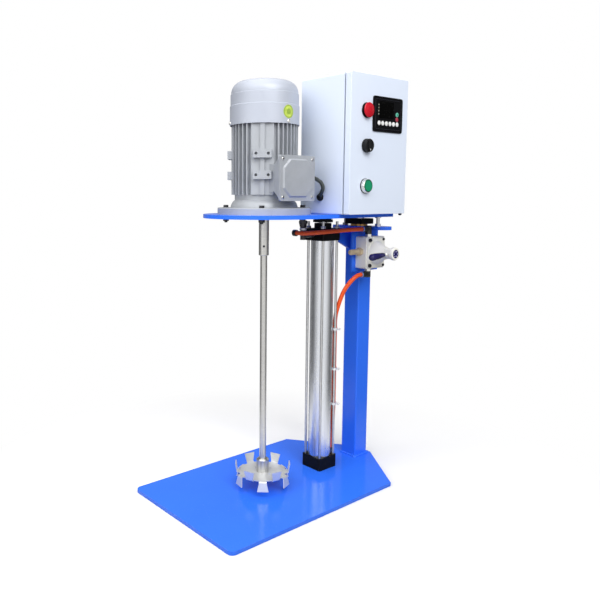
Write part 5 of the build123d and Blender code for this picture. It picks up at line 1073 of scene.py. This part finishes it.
class MIXER_OT_stage(MixerOperator, bpy.types.Operator):
    """Pale floor, even surround, three soft lamps and the camera"""

    bl_idname = "mixer.stage"
    bl_label = "Studio"

    brightest = (0.55, -0.45, 0.70)
    away_from_camera = (-0.777, 0.629, 0.0)
    object_middle = (0.0, 0.1, 0.45)
    camera_place, camera_pitch, camera_yaw = (1.04413, -0.92907, 0.66092), 7.02, 51.04

    def execute(self, context):
        studio, scene = context.scene.mixer_studio, context.scene
        scene.view_settings.view_transform = "Standard"
        scene.world = self.surround(studio)
        self.floor()
        self.lamp("Key lamp", (1.7, -0.4, 1.9), self.object_middle, 1.4, studio.key)
        self.lamp("Side lamp", (0.1, -1.9, 1.9), self.object_middle, 2.6, studio.side)
        self.lamp("Top lamp", (-0.3, 0.0, 2.4), (0.0, 0.05, 0.3), 1.6, studio.top)
        view = bpy.data.cameras.new("Photo camera")
        view.sensor_width = 36.0
        view.lens = studio.lens
        view.shift_x, view.shift_y = 0.1110, -0.0411
        camera = bpy.data.objects.new("Photo camera", view)
        scene.collection.objects.link(camera)
        camera.location = self.camera_place
        camera.rotation_euler = tuple(np.radians([90.0 - self.camera_pitch, 0.0, self.camera_yaw]))
        scene.camera = camera
        return self.finished(camera)

    def surround(self, studio):
        """White to the camera and through glass, the shine to metal, and to all else a soft light
        that is stronger from above and from the operator's side."""
        world = bpy.data.worlds.new("Even surround")
        world.use_nodes = True
        tree = world.node_tree
        tree.nodes.clear()
        ray = new_node(tree, "LightPath", {}).outputs
        place = new_node(tree, "TexCoord", {}).outputs["Generated"]
        slope = math_node(tree, "MULTIPLY_ADD", self.along(tree, place, self.brightest), 0.5, 1.0)
        soft = math_node(tree, "MULTIPLY", slope, studio.surround)
        seen = math_node(tree, "MAXIMUM", ray["Is Camera Ray"], ray["Is Transmission Ray"])
        glossy = math_node(tree, "MULTIPLY", ray["Is Glossy Ray"], self.shine(tree, place))
        plain = math_node(tree, "MAXIMUM", seen, ray["Is Glossy Ray"])
        rest = math_node(tree, "MULTIPLY", math_node(tree, "SUBTRACT", 1.0, plain), soft)
        strength = math_node(tree, "ADD", math_node(tree, "MAXIMUM", seen, glossy), rest)
        lit = new_node(tree, "Background", {"Color": WHITE, "Strength": strength})
        new_node(tree, "OutputWorld", {"Surface": lit.outputs[0]})
        return world

    def along(self, tree, direction, axis):
        """How far a direction points along an axis, from -1 to 1."""
        return vector_node(tree, "DOT_PRODUCT", direction, axis)["Value"]

    def shine(self, tree, direction):
        """Brightness that metal mirrors: full on the operator's side, dim flags to left and right
        of the machine, and a little less dim behind it."""
        turn = self.along(tree, direction, self.away_from_camera)
        dim = ramped(tree, turn, -0.75, -0.05)
        again = math_node(tree, "MULTIPLY", ramped(tree, turn, 0.25, 1.0), 0.22)
        flag = bpy.context.scene.mixer_studio.flag
        return math_node(tree, "MULTIPLY_ADD", math_node(tree, "SUBTRACT", dim, again), -flag, 1.0)

    def floor(self):
        """A round floor that keeps the shadow near the machine, fades to white far from it, and
        throws little light up at the undersides."""
        points, faces = turned([(0, 0), (6.0, 0)], 64)
        mesh = bpy.data.meshes.new("floor")
        mesh.from_pydata(points.tolist(), [], faces)
        material = bpy.data.materials.new("Pale floor")
        material.use_nodes = True
        tree = material.node_tree
        tree.nodes.clear()
        place = object_place(tree)
        reach = vector_node(tree, "DISTANCE", place, (0.0, 0.06, 0.0))["Value"]
        far = ramped(tree, reach, 0.38, 0.75)
        ray = new_node(tree, "LightPath", {}).outputs
        away = math_node(tree, "MAXIMUM", ray["Is Camera Ray"], ray["Is Glossy Ray"])
        tint = mixed_colour(tree, ray["Is Diffuse Ray"], (0.93, 0.93, 0.94, 1.0),
                            (0.26, 0.26, 0.28, 1.0))
        pale = new_node(tree, "BsdfDiffuse", {"Color": tint})
        heading = vector_node(tree, "NORMALIZE", place)["Vector"]
        shine = math_node(tree, "MULTIPLY", self.shine(tree, heading), ray["Is Glossy Ray"])
        strength = math_node(tree, "MAXIMUM", shine, ray["Is Camera Ray"])
        white = new_node(tree, "Emission", {"Color": WHITE, "Strength": strength})
        blend = new_node(tree, "MixShader", {0: math_node(tree, "MULTIPLY", far, away),
                                             1: pale.outputs[0], 2: white.outputs[0]})
        new_node(tree, "OutputMaterial", {"Surface": blend.outputs[0]})
        mesh.materials.append(material)
        floor = bpy.data.objects.new("floor", mesh)
        floor.location.z = -0.0005
        bpy.context.scene.collection.objects.link(floor)

    def lamp(self, name, at, aim, size, watts):
        """A square soft lamp at a point, aimed at another."""
        data = bpy.data.lights.new(name, "AREA")
        data.size = size
        data.energy = watts
        lamp = bpy.data.objects.new(name, data)
        lamp.location = at
        lamp.rotation_euler = (Vector(aim) - Vector(at)).to_track_quat("-Z", "Y").to_euler()
        bpy.context.scene.collection.objects.link(lamp)


OPERATORS = (
    MIXER_OT_stage, MIXER_OT_frame_paint, MIXER_OT_cylinder, MIXER_OT_motor, MIXER_OT_shaft,
    MIXER_OT_cabinet, MIXER_OT_controls, MIXER_OT_buttons, MIXER_OT_motor_screws, MIXER_OT_sticker,
    MIXER_OT_valve, MIXER_OT_air_fittings, MIXER_OT_tie_heads, MIXER_OT_set_screws,
)


class MIXER_PT_panel(bpy.types.Panel):
    """Every step of the finish, in the order in which it is made."""

    bl_label = "Lift Mixer"
    bl_idname = "MIXER_PT_panel"
    bl_space_type = "VIEW_3D"
    bl_region_type = "UI"
    bl_category = "Lift Mixer"

    def draw(self, context):
        scene = context.scene
        for group in (scene.mixer_colours, scene.mixer_fittings, scene.mixer_studio):
            box = self.layout.box()
            for name in group.bl_rna.properties.keys():
                if name not in ("rna_type", "name"):
                    box.prop(group, name)
        for operator in OPERATORS:
            self.layout.operator(operator.bl_idname)


CLASSES = (MixerColours, MixerFittings, MixerStudio, *OPERATORS, MIXER_PT_panel)


def register():
    """Register the classes and hang the settings on the scene."""
    for item in CLASSES:
        bpy.utils.register_class(item)
    bpy.types.Scene.mixer_colours = PointerProperty(type=MixerColours)
    bpy.types.Scene.mixer_fittings = PointerProperty(type=MixerFittings)
    bpy.types.Scene.mixer_studio = PointerProperty(type=MixerStudio)


def unregister():
    """Take the settings and the classes away again."""
    del bpy.types.Scene.mixer_colours
    del bpy.types.Scene.mixer_fittings
    del bpy.types.Scene.mixer_studio
    for item in reversed(CLASSES):
        bpy.utils.unregister_class(item)


def main():
    """Make every piece in order."""
    register()
    for operator in OPERATORS:
        group, name = operator.bl_idname.split(".")
        getattr(getattr(bpy.ops, group), name)()


if __name__ == "__main__":
    main()
